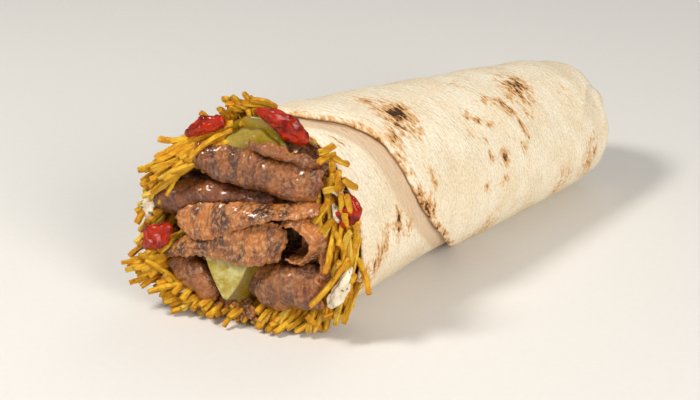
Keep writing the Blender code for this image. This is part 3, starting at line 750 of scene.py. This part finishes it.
def makeRolledSlice(node, stations, arc, thickness, seed, finish):
    middle, heading, length = centreLine(stations)
    runsOut = stations[0][2] < 0

    def place(share, side, growEnd, growSide):
        station = alongStations(stations, share)
        run = heading(share)
        across, up = sectionAt(run, upright)
        tall, wide = (station[4], station[3]) if runsOut else (station[3], station[4])
        angle = radians(blend(*arc, side)) + (2 * side - 1) * growSide / min(tall, wide)
        dent = 1 + 0.13 * cloud(angle * 1.1 + seed, share * 2.5, seed)
        reach = 0.35 * sin(share * 11 + angle * 2) + 0.25 * sin(share * 23 - angle * 3) - thickness / 2
        return (middle(share) + run * (growEnd * (2 * share - 1)) + across * (cos(angle) * (wide * dent + reach))
                + up * (sin(angle) * (tall * dent + reach)))

    size = sum(station[3] + station[4] for station in stations) / len(stations) / 2
    width = radians(arc[1] - arc[0]) * size
    return makeSlice(node, place, length, width, thickness, seed, beefMesh["rib"], finish)


def makeFlatSlice(node, stations, thickness, seed, finish):
    middle, heading, length = centreLine(stations)

    def place(share, side, growEnd, growSide):
        half, *width = alongStations(stations, share)[3:]
        run, across, lean = heading(share), faceWay(*width), 2 * side - 1
        off = run.cross(across).normalized()
        wave = 0.5 * sin(share * 14 + lean * 1.5) - 0.9 * (lean * lean - 0.3)
        return (middle(share) + run * (growEnd * (2 * share - 1)) + across * (lean * (half + growSide))
                + off * wave)

    width = sum(station[3] for station in stations) / len(stations) * 2
    return makeSlice(node, place, length, width, thickness, seed, beefMesh["flatRib"], finish)


beefColours = {
    "brown": (0.140, 0.027, 0.004), "tan": (0.58, 0.185, 0.028), "mauve": (0.066, 0.014, 0.006),
    "amber": (0.54, 0.150, 0.010), "crust": (0.028, 0.006, 0.002), "fat": (0.90, 0.55, 0.24),
}
beefPatterns = {
    "bands": (0.15, 0.07, 1, 4, 0.42, 0.58), "pale": (0.17, 0.11, 1, 4, 0.40, 0.60),
    "fibre": (1.05, 0.26, 0.4, 4, 0.45, 0.60), "grit": (0.9, 0.8, 1, 5, 0.49, 0.59),
    "crust": (0.30, 0.16, 0.30, 3, 0.55, 0.70), "fat": (0.8, 0.8, 1, 0.22, 0.30),
}
juicePatterns = {"amber": (0.22, 0.22, 0.22, 4, 0.54, 0.66), "wet": (0.22, 0.22, 0.22, 3, 0.32, 0.50)}


def beefFinish(name, lightness, banding):
    finish, tree, shader = newMaterial(name)
    made = patterns(tree, attribute(tree, "flat", "Vector"), beefPatterns)
    made.update(patterns(tree, placeInMm(tree), juicePatterns))
    tone = mixed(tree, made["bands"]["Mask"], beefColours["mauve"], beefColours["brown"])
    tone = layered(tree, tone, made, beefColours, (
        ("pale", lightness, "tan"), ("fibre", banding, "tan"), ("amber", 0.2 + lightness * 0.3, "amber"),
        ("grit", lightness * 0.4, "fat"), ("fat", lightness * 0.35, "fat"), ("crust", 0.50, "crust"),
        (attribute(tree, "edge"), 0.15 + lightness * 0.3, "tan")))
    wet = made["wet"]["Mask"]
    dress(tree, shader, {
        "Base Color": tone, "Roughness": between(tree, wet, 0.36, 0.18), "Specular IOR Level": 0.6,
        "Coat Weight": times(tree, wet, 0.45), "Coat Roughness": 0.14})
    bumped(tree, shader, plus(tree, times(tree, made["fibre"]["Raw"], 0.7), made["grit"]["Raw"]), 1.15)
    return finish


darkBeef = beefFinish("grilledBeefDark", 0.10, 0.16)
brownBeef = beefFinish("grilledBeef", 0.40, 0.28)
paleBeef = beefFinish("grilledBeefPale", 0.85, 0.14)
ownFinish = {"beef_side_roll": darkBeef, "beef_open_curl": paleBeef}
for number, (node, details) in enumerate(rolledBeef.items()):
    makeRolledSlice(node, *details, 1.7 + number * 2.3, ownFinish.get(node, brownBeef))
for number, (node, details) in enumerate(flatBeef.items()):
    makeFlatSlice(node, *details, 21.1 + number * 2.9, paleBeef)
print("the beef slices are in")


# Pickles

pickleSlices = {
    "radius": 11.2, "thick": 2.4, "turns": 72, "lowest": -6.5,
    # right, up and out of the middle, and the tilt
    "front": ((1.5, 24.3, 4.6), (0.05, 0.15)), "back": ((1.5, 27.6, 1.4), (0.0, 0.15)),
}
pickleColours = {
    "skin": (0.150, 0.095, 0.003), "rind": (0.31, 0.205, 0.008), "flesh": (0.37, 0.262, 0.018),
    "core": (0.56, 0.50, 0.19), "seed": (0.64, 0.53, 0.22),
}
picklePatterns = {
    "veins": (0.30, 0.30, 0.3, 3, 0.40, 0.64), "wet": (0.7, 0.7, 0.7, 2, 0.35, 0.65),
    "seeds": (0.42, 0.62, 0.4, 0.4, 0.36), "mottle": (1.1, 1.1, 1.1, 3, 0.45, 0.7),
}
wedge = {
    "corners": ((-14.5, -8.2, 11), (2.4, -9.6, 11), (-5.4, -25, 14.2)), "back": (4.6, -2.4, -7), "round": 0.7,
    "steps": 26, "bow": 0.9, "pull": 0.9, "bump": 0.35,
}


def makePickleSlice(node, centre, tilt, seed, finish):
    turns, radius, thick = pickleSlices["turns"], pickleSlices["radius"], pickleSlices["thick"]
    axis = faceWay(*tilt, 1)
    side = (faceRight - axis * faceRight.dot(axis)).normalized()
    rise = axis.cross(side)
    profile = [(share / 12, 1) for share in range(12)]
    profile += [(0.94 + 0.06 * sin(lean), cos(lean)) for lean in (0.0, 0.5, 1.0, pi / 2, 2.1, 2.6, pi)]
    profile += [(1 - share / 12, -1) for share in range(1, 13)]
    points, flat, skin = [], [], []
    for share, level in profile:
        for turn in roundIn(turns):
            ripple = 1 + 0.025 * sin(turn * 11) * smooth(share * 2 - 1)
            ripple += 0.03 * cloud(cos(turn) * 2, sin(turn) * 2, seed)
            reach = max(share, 0.01) * radius * ripple
            x, y = reach * cos(turn), reach * sin(turn)
            dished = 0.22 * cloud(cos(turn) * share * 4, sin(turn) * share * 4, seed) - 0.25 * (1 - share) * level
            offset = level * thick / 2 + dished + 0.5 * share * share * sin(turn * 2 + seed)
            # the lower part is behind the beef
            points.append(onFace(*centre) + side * x + rise * max(y, pickleSlices["lowest"]) + axis * offset)
            flat.append((x, y, seed))
            skin.append(smooth((share - 0.90) / 0.08) * (1 if abs(level) < 0.99 else 0.75))
    faces, values = gridFaces(turns, len(profile) - 1, True), {"flat": flat, "skin": skin}
    return finished(meshPiece(pieceName(node), points, faces, values, finish), "pickle", node)


def makeWedge(finish):
    # a three-cornered prism, rounded, with its skin on the right-hand side
    corners = [Vector(corner) for corner in wedge["corners"]]
    middle = sum(corners, Vector()) / 3
    steps, edge, depthway = wedge["steps"], wedge["round"], Vector(wedge["back"])
    outline = []
    for index, (start, end) in enumerate(zip(corners, corners[1:] + corners[:1])):
        outward = (start.lerp(end, 0.5) - middle).normalized()
        for step in range(steps):
            share = step / steps
            point = start.lerp(end, share) + outward * (wedge["bow"] * sin(pi * share))
            pull = (1 - smooth(min(share, 1 - share) / 0.09)) * wedge["pull"]
            outline.append((point + (middle - point).normalized() * pull, index == 1))
    profile = [(share / 9, 0.0) for share in range(9)]
    profile += [(1 - edge / 9 * (1 - sin(lean)), edge / 8 * (1 - cos(lean))) for lean in (0.3, 0.7, 1.1, 1.57)]
    profile += [(1.0, depth) for depth in (0.3, 0.5, 0.7, 0.9)]
    profile += [(0.93, 0.98), (0.7, 1.0), (0.35, 1.0), (0.01, 1.0)]
    points, flat, skin = [], [], []
    for share, depth in profile:
        for point, onSkin in outline:
            placed = middle + (point - middle) * max(share, 0.01) + depthway * depth
            flat.append(tuple(placed))
            placed.z += wedge["bump"] * noise.noise(placed / 3)
            points.append(onFace(*placed))
            skin.append(onSkin * smooth((share - 0.9) / 0.08) * smooth(depth / 0.1 + 0.3))
    faces, values = gridFaces(len(outline), len(profile) - 1, True), {"flat": flat, "skin": skin}
    return finished(meshPiece("pickleWedge", points, faces, values, finish), "pickle", "pickle_wedge")


def pickleFinish(name, flesh, core):
    finish, tree, shader = newMaterial(name)
    colours = pickleColours
    made = patterns(tree, attribute(tree, "flat", "Vector"), picklePatterns)
    skin = attribute(tree, "skin")
    tone = mixed(tree, made["veins"]["Mask"], colours[flesh], colours[core])
    tone = layered(tree, tone, made, colours, (
        ("seeds", 0.5, "seed"), (levels(tree, skin, 0.15, 0.55), 1.0, "rind"),
        (levels(tree, skin, 0.5, 0.85), 1.0, "skin"), ("mottle", 0.25, "rind")))
    dress(tree, shader, {
        "Base Color": tone, "Roughness": between(tree, made["wet"]["Mask"], 0.34, 0.16),
        "Coat Weight": 0.4, "Coat Roughness": 0.1,
        "Subsurface Weight": 0.12, "Subsurface Radius": (0.8, 0.9, 0.3), "Subsurface Scale": 0.002})
    bumped(tree, shader, plus(tree, made["mottle"]["Raw"], made["veins"]["Raw"]), 0.3, 0.7)
    return finish


makePickleSlice("pickle_front", *pickleSlices["front"], 3.1, pickleFinish("pickleSliced", "flesh", "rind"))
makePickleSlice("pickle_back", *pickleSlices["back"], 5.7, pickleFinish("pickleShaded", "rind", "rind"))
makeWedge(pickleFinish("pickleCut", "flesh", "core"))
print("the pickles are in")


# Sauces

sauces = {  # stations of right, up, out and half width
    "ketchup_top_left": ((-22, 30, 5.5, 2.2), (-15, 34.4, 5.5, 2.6), (-7.5, 37.2, 5, 3.2)),
    "ketchup_top": ((2, 41, 1.5, 2.4), (9, 39.6, 2.5, 3.0), (16, 36.4, 3, 3.8), (20.5, 33, 3, 3.2)),
    "ketchup_right": ((34, 19, 4, 2.6), (35.5, 13, 5, 3.6), (34, 6.5, 5, 3.8)),
    "ketchup_left": ((-36, -12.5, 11, 2.8), (-32, -7.2, 11.5, 4.2), (-26.5, -1.4, 10.5, 3.0)),
    "garlic_sauce_right": ((37.8, -6, 7.5, 1.4), (34.8, -14, 8.6, 2.3), (30.2, -22.4, 8.2, 2.6)),
    "garlic_sauce_left": ((-35.5, 9.5, 5, 1.8), (-37.5, 3, 6, 2.6), (-37.5, -3.5, 6, 2.2)),
}
sauceMesh = {"turns": 64, "rows": 60, "waves": 0.12, "lumps": 0.34, "smallLumps": 0.20, "flattened": 0.8}
ketchupLook = {
    "deep": (0.12, 0.003, 0.0002), "bright": (0.41, 0.018, 0.0004),
    "patterns": {"pulp": (0.24, 0.24, 0.24, 3, 0.34, 0.60), "fine": (1.3, 1.3, 1.3, 3, 0.4, 0.7)},
}
garlicLook = {
    "cream": (0.72, 0.60, 0.43), "light": (0.84, 0.76, 0.61), "herb": (0.13, 0.19, 0.025),
    "patterns": {"swirl": (0.3, 0.3, 0.3, 3, 0.38, 0.64), "herbs": (0.55, 0.55, 0.55, 0.62, 0.42)},
}


def makeSauce(name, stations, seed, finish, slot, *nodes):
    turns, rows = sauceMesh["turns"], sauceMesh["rows"]
    middle, heading, _ = centreLine(stations)
    points, flat = [], []
    for row in range(rows + 1):
        lean = pi * row / rows
        share = (1 - cos(lean)) / 2
        half = alongStations(stations, share)[3]
        across, rise = sectionAt(heading(share), faceOut)
        for turn in roundIn(turns):
            x, y = cos(turn), sin(turn)
            lumps = 1 + sauceMesh["waves"] * sin(3 * turn + share * 9)
            lumps += sauceMesh["lumps"] * cloud(x * 1.1 + seed, y * 1.1, share * 4.5)
            lumps += sauceMesh["smallLumps"] * cloud(x * 2.6, y * 2.6 + seed, share * 11)
            fullness = max(0.01, sin(lean)) ** 0.8 * half * lumps
            points.append(middle(share) + (across * x + rise * (y * sauceMesh["flattened"])) * fullness)
            flat.append((share * 16, turn * half, seed))
    return finished(meshPiece(name, points, gridFaces(turns, rows, True), {"flat": flat}, finish), slot, *nodes)


def ketchupFinish():
    finish, tree, shader = newMaterial("ketchup")
    made = patterns(tree, placeInMm(tree), ketchupLook["patterns"])
    dress(tree, shader, {
        "Base Color": mixed(tree, made["pulp"]["Mask"], ketchupLook["deep"], ketchupLook["bright"]),
        "Roughness": between(tree, made["fine"]["Mask"], 0.10, 0.2), "Specular IOR Level": 0.36,
        "Subsurface Weight": 0.08, "Subsurface Radius": (1.0, 0.2, 0.1), "Subsurface Scale": 0.0015})
    bumped(tree, shader, plus(tree, made["pulp"]["Raw"], times(tree, made["fine"]["Raw"], 0.22)), 0.8, 0.8)
    return finish


def garlicFinish():
    finish, tree, shader = newMaterial("garlicSauce")
    made = patterns(tree, placeInMm(tree), garlicLook["patterns"])
    tone = mixed(tree, made["swirl"]["Mask"], garlicLook["cream"], garlicLook["light"])
    tone = layered(tree, tone, made, garlicLook, (("herbs", 0.85, "herb"),))
    dress(tree, shader, {
        "Base Color": tone, "Roughness": between(tree, made["swirl"]["Raw"], 0.2, 0.4),
        "Subsurface Weight": 0.15, "Subsurface Radius": (1.0, 0.8, 0.6), "Subsurface Scale": 0.0015})
    bumped(tree, shader, made["swirl"]["Raw"], 0.5, 0.6)
    return finish


ketchup = (ketchupFinish(), "ketchup")
garlicSauce = (garlicFinish(), "garlic_sauce")
for number, (node, stations) in enumerate(sauces.items()):
    sauce = ketchup if node.startswith("ketchup") else garlicSauce
    makeSauce(pieceName(node), stations, number * 3.3, *sauce, node)
print("the sauces are in")


# Crisp potato straws

straws = {
    "size": 2.05, "seed": 11, "out": 17, "sides": 8, "stations": 9, "mouth": (35, 32.5), "lowest": 0.25,
    # how the straws of a bunch vary, and then those that are placed one by one
    "rootShare": (0.86, 1.08), "rootDepth": (-3.5, 0.5), "bend": 1.3, "sizes": (0.82, 1.12),
    "lengths": (0.7, 1.25), "placedBend": 0.09, "placedSizes": (0.95, 1.15),
    # degrees round the face from and to, count, way (right, up, out), spread, length, out, furthest reach
    "bunches": (
        (84, 112, 16, (-0.30, 0.9, 0.25), 0.45, 11, -4, 43),
        (95, 150, 54, (-0.80, -0.55, 0.22), 0.15, 18, 4, 35.5),
        (145, 200, 26, (-0.50, -0.60, 0.45), 0.30, 11, 3, 36),
        (200, 246, 34, (-0.85, -0.36, 0.60), 0.28, 16, 4, 41),
        (246, 300, 38, (-0.45, -0.60, 0.75), 0.40, 11, 2, 41),
        (-60, 46, 90, (-0.02, -0.92, 0.22), 0.24, 17, 2, 43),
        (50, 165, 70, (-0.20, 0.40, 0.70), 0.45, 12, -12, 34.5),
        (150, 262, 80, (-0.55, -0.20, 0.80), 0.35, 13, -9, 34.5),
    ),
    # how far out the free end and the rooted end are, then right and up of both ends for each straw
    "placed": (
        (1, -2, (-10.2, 42.8, -5.4, 39.7), (-9.4, 41.1, -1.8, 40)),
        (0, -2, (-2.9, 45.6, 0, 41.1), (-3.3, 42.2, 0.7, 40.5)),
        (1, -2, (-8.3, 40.4, -1.8, 39.6)),
        (0, -2, (-6.2, 41.5, 0.7, 40.1), (-7.3, 44, -4.3, 40.6), (-0.4, 43.5, 2.9, 40.9)),
        (4.5, 6.5, (-32.5, 26.7, -18.9, 29.7), (-28.9, 23.3, -9.9, 33.6), (-32.5, 19.4, -13.5, 29.6),
         (-35.8, 15.9, -16, 27), (-35.4, 14.5, -18.2, 22.9), (-38, 10, -21.8, 20.5), (-38.3, 7.8, -20, 19),
         (-38, 6, -31.6, 12.1), (-26.7, 26.3, -12, 34.3), (-30.4, 21.3, -12.8, 31.6), (-34.7, 17.5, -15.3, 25.7),
         (-34, 13, -17.5, 21.3), (-25.3, 24.7, -8, 34.6), (-24.2, 22.8, -11.7, 29.2)),
        (7.5, 5, (-40.2, -0.7, -30.9, 6.1), (-35.8, 5.2, -31.6, 7.8), (-35.8, -3.1, -32.7, 0),
         (-38.7, 2.5, -33, 5.7)),
        (15, 9, (-34, -11.9, -29, -9.4)),
        (14, 10, (-29.3, -10.3, -25.8, -7.1)),
        (12, 8.5, (-42.1, -17.2, -30.7, -12.6), (-41, -18.4, -29.6, -14.3), (-38.8, -14.7, -26.3, -12.9),
         (-39.9, -25.1, -31, -20), (-36.3, -16.1, -24.5, -26.4), (-33, -27.1, -31, -24.3),
         (-30.8, -29.3, -26.7, -23.5), (-29, -20.2, -28.9, -29.4), (-26.1, -27, -22.7, -22.1),
         (-23.2, -28.6, -19.8, -23.7), (-37.7, -19.6, -27, -16.3), (-18.9, -31.4, -18.3, -28.2),
         (-14.5, -31, -13.3, -28.3), (-16, -29.4, -12.9, -26.1), (-35.2, -22.1, -28.5, -18.4)),
        (8.5, 6.5, (-4.6, -34.7, 1.4, -29.4), (-1.7, -34.5, 4.6, -27.4), (-1.3, -32, 4.3, -34.6),
         (7.7, -34.4, 13, -27.3), (9.2, -34.6, 14.4, -28.5), (14.6, -33.7, 20.2, -27.1), (17.9, -33.9, 23.1, -27.3),
         (21.9, -27, 24.6, -32.1), (6.3, -32.7, 9.7, -29), (1.9, -34.4, 3.2, -29.5), (11.7, -32.1, 15.9, -27.1),
         (-5.7, -32.4, -2.6, -29.8)),
        (8.5, 6, (26.9, 32.9, 30.5, 35), (26.9, 29.3, 31.2, 31.5), (31.3, 30.4, 29.8, 21), (32, 32.4, 35.2, 29.3),
         (33.8, 28, 31.9, 18.9), (28.4, 19.7, 31.9, 20.7), (35.3, 25.3, 38.1, 21.8), (25.1, 8.2, 30.1, 16),
         (26.9, 5.3, 31.9, 12), (26.2, -4, 31.2, 2), (27.7, -4.8, 32.7, 0.1), (28, 2.9, 30.8, 6.7),
         (34.6, 19.8, 31.9, 8.3), (36.4, 19.7, 34.1, 7.3), (32.4, 5.9, 33.7, -5.9), (37.5, 6.8, 33.7, -6.6),
         (40.3, 10.3, 37, -4.6), (37.8, -4, 32.7, -13.4), (35.3, -27.4, 37.4, -17.6), (32.4, -28.6, 33, -22),
         (44.3, -14.4, 38.8, -7.9), (39.3, -8.5, 36.3, -21.1), (29.8, 17.1, 26.5, 10.2), (31.7, 26.1, 33.7, 21),
         (35.6, 13, 37.7, 3.6), (28, -26.2, 31.2, -25.6), (33.8, -4.7, 30.5, -14.5)),
        (14.5, 11, (26.1, -19.5, 35, -5.6)),
    ),
}
strawColours = {
    "gold": (0.58, 0.210, 0.004), "light": (0.80, 0.47, 0.025), "brown": (0.32, 0.090, 0.004),
    "pale": (0.82, 0.55, 0.08),
}
strawPatterns = {
    "pieces": (0.22, 0.3, 1.9, 2, 0.36, 0.64), "grit": (0.9, 1.3, 2, 4, 0.40, 0.66),
    "fried": (0.35, 0.6, 3.1, 3, 0.55, 0.72),
}


def strawPath(root, way, bend, length):
    return [root, root + way * (length / 2) + bend, root + way * length + bend * 0.4]


def onPath(path, share):
    start, middle, end = path
    control = middle * 2 - (start + end) / 2
    return start * (1 - share) ** 2 + control * (2 * share * (1 - share)) + end * share ** 2


def addStraw(points, faces, flat, tip, path, roll, size, number):
    sides, stations = straws["sides"], straws["stations"]
    first = len(points)
    length = (path[2] - path[0]).length
    side = (path[2] - path[0]).normalized().orthogonal().normalized()
    for station in range(stations + 1):
        share = (smooth(station / stations) + station / stations) / 2
        run = (onPath(path, min(1, share + 0.05)) - onPath(path, max(0, share - 0.05))).normalized()
        side = (side - run * side.dot(run)).normalized()
        rise = run.cross(side)
        for corner, turn in enumerate(roundIn(sides)):
            turn += pi / sides
            square = 1 / max(abs(cos(turn)), abs(sin(turn))) ** 0.85
            wobble = 1 + 0.34 * cloud(share * length / 3 + number * 3.1, corner * 0.7, number)
            reach = size / 2 * square * wobble * (0.92 if station in (0, stations) else 1.0)
            spun = turn + roll + share * 0.5 * cloud(number, 3.0)
            point = onPath(path, share) + side * (cos(spun) * reach) + rise * (sin(spun) * reach * 0.88)
            point.z = max(point.z, straws["lowest"])
            points.append(point)
            flat.append((share * length, corner * size * 4 / sides, number * 0.37 % 7))
            tip.append(1 - smooth(min(share, 1 - share) * length / 1.8))
    faces.extend(tuple(first + index for index in face) for face in gridFaces(sides, stations, True))
    faces.append(tuple(first + corner for corner in reversed(range(sides))))
    faces.append(tuple(first + stations * sides + corner for corner in range(sides)))


def throughBread(point):
    away = point - mouthAt
    above = away.z - rollRadius(0) + wrap["sag"]
    angle = degrees(atan2(-away.y, above))
    front = breadFront(angle) if angle < wrap["seam"][0][0] else 0.0
    return away.x > front - 1 and hypot(away.y, above) > rollRadius(0) - wrap["thickness"] - 1.6


def bunchPaths(draw):
    paths = []
    wide, tall = straws["mouth"]
    for start, end, count, way, spread, length, out, limit in straws["bunches"]:
        for index in range(count):
            for attempt in range(20):
                angle = radians(blend(start, end, (index + draw.random()) / count))
                share = draw.uniform(*straws["rootShare"])
                depth = out + draw.uniform(*straws["rootDepth"])
                root = onFace(wide * cos(angle) * share, tall * sin(angle) * share, depth)
                heading = [value + spread * draw.uniform(-1, 1) for value in way]
                heading[2] = max(0.2, heading[2])
                bend = Vector([draw.uniform(-1, 1) for _ in range(3)]) * straws["bend"]
                roll = draw.uniform(0, pi / 2)
                size = straws["size"] * draw.uniform(*straws["sizes"])
                reach = length * draw.uniform(*straws["lengths"]) * (1 - attempt / 40)
                path = strawPath(root, faceWay(*heading), bend, reach)
                reached = path[2] - faceCentre
                if min(point.z for point in path) < 1.3 or hypot(reached.y, reached.z) > limit:
                    continue
                if reached.dot(faceOut) > straws["out"] or throughBread(path[1]) or throughBread(path[2]):
                    continue
                paths.append((path, roll, size))
                break
    return paths


def placedPaths(draw):
    paths = []
    for free, deep, *rows in straws["placed"]:
        for right, up, rootRight, rootUp in rows:
            tipEnd, rooted = onFace(right, up, free), onFace(rootRight, rootUp, deep)
            onEdge = rootRight > 29 and rootUp > 14  # these lie on the edge of the bread
            rooted += (rooted - tipEnd).normalized() * (0.5 if onEdge else 3) - faceOut * (0.5 if onEdge else 3.5)
            bend = Vector([draw.uniform(-1, 1) for _ in range(3)]) * straws["placedBend"]
            bend *= (tipEnd - rooted).length
            path, roll = [rooted, (rooted + tipEnd) / 2 + bend, tipEnd], draw.uniform(0, pi / 2)
            paths.append((path, roll, straws["size"] * draw.uniform(*straws["placedSizes"])))
    return paths


def makeStraws(finish):
    draw = random.Random(straws["seed"])
    paths = bunchPaths(draw) + placedPaths(draw)
    points, faces, flat, tip = [], [], [], []
    for number, (path, roll, size) in enumerate(paths):
        addStraw(points, faces, flat, tip, path, roll, size, number)
    piece = meshPiece("potatoStraws", points, faces, {"flat": flat, "tip": tip}, finish)
    piece.data.shade_flat()
    print(len(paths), "straws,", len(faces), "faces")
    return finished(piece, "potato_straws", "potato_straws")


def strawFinish():
    finish, tree, shader = newMaterial("crispPotato")
    flat = attribute(tree, "flat", "Vector")
    apart = put(tree, "SeparateXYZ", {"Vector": flat})
    own = put(tree, "TexWhiteNoise", {"W": apart.outputs["Z"]}, noise_dimensions="1D").outputs["Value"]
    made = patterns(tree, flat, strawPatterns)
    tone = mixed(tree, made["pieces"]["Mask"], strawColours["gold"], strawColours["light"])
    tone = layered(tree, tone, made, strawColours, (
        (levels(tree, own, 0.80, 0.95), 1.0, "pale"), ("grit", 0.22, "light"), ("fried", 0.55, "brown"),
        (attribute(tree, "tip"), 0.20, "brown")))
    roughness = between(tree, made["grit"]["Raw"], 0.38, 0.66)
    dress(tree, shader, {"Base Color": tone, "Roughness": roughness, "Specular IOR Level": 0.22})
    bumped(tree, shader, made["grit"]["Raw"], 0.7)
    return finish


makeStraws(strawFinish())
print("the straws are in")


# Scraps of beef and dabs of sauce at the edges of the mouth

scraps = {
    "seed": 5, "count": 16, "from": (-12, -30.5, 6), "to": (6, -31.5, 8), "size": (1.1, 2.6),
    "shape": (1.3, 0.9, 0.55), "turns": 14, "rows": 8, "lowest": 0.6,
}
dabs = {
    "garlicDabTop": ((29, 19.6, 5.4, 0.7), (31.5, 19.4, 6, 1.3), (34, 18.4, 5.4, 0.9)),
    "garlicDabMiddle": ((30.5, 15, 5.6, 0.8), (32, 11.6, 6.4, 1.4), (32.5, 8, 6, 0.9)),
}


def makeScraps(finish):
    draw = random.Random(scraps["seed"])
    points, faces, flat = [], [], []
    turns, rows = scraps["turns"], scraps["rows"]
    for number in range(scraps["count"]):
        centre = Vector(scraps["from"]).lerp(Vector(scraps["to"]), draw.random())
        centre += Vector((draw.uniform(-2, 2), draw.uniform(-1.5, 2.5), draw.uniform(-2.5, 1.5)))
        long, wide, deep = [draw.uniform(*scraps["size"]) * factor for factor in scraps["shape"]]
        spin = draw.uniform(0, pi)
        first = len(points)
        for row in range(rows + 1):
            lean = pi * row / rows
            for turn in roundIn(turns):
                lumps = 1 + 0.45 * cloud(cos(turn) * 1.3 + number * 5, sin(turn) * 1.3, cos(lean) * 1.5)
                reach = max(0.02, sin(lean)) * lumps
                x, y, z = long * cos(turn) * reach, wide * sin(turn) * reach, deep * cos(lean) * lumps
                spun = Vector((x * cos(spin) - y * sin(spin), x * sin(spin) + y * cos(spin), z))
                point = onFace(*(centre + spun))
                point.z = max(point.z, scraps["lowest"])
                points.append(point)
                flat.append((x + number * 9, y, 0.0))
        faces.extend(tuple(first + index for index in face) for face in gridFaces(turns, rows, True))
    values = {"flat": flat, "edge": [0.2] * len(points)}
    return finished(meshPiece("beefScraps", points, faces, values, finish), "grilled_beef")


makeScraps(paleBeef)
for number, (name, stations) in enumerate(dabs.items()):
    makeSauce(name, stations, 30.0 + number * 4.7, *garlicSauce)
print("the scraps and dabs are in")
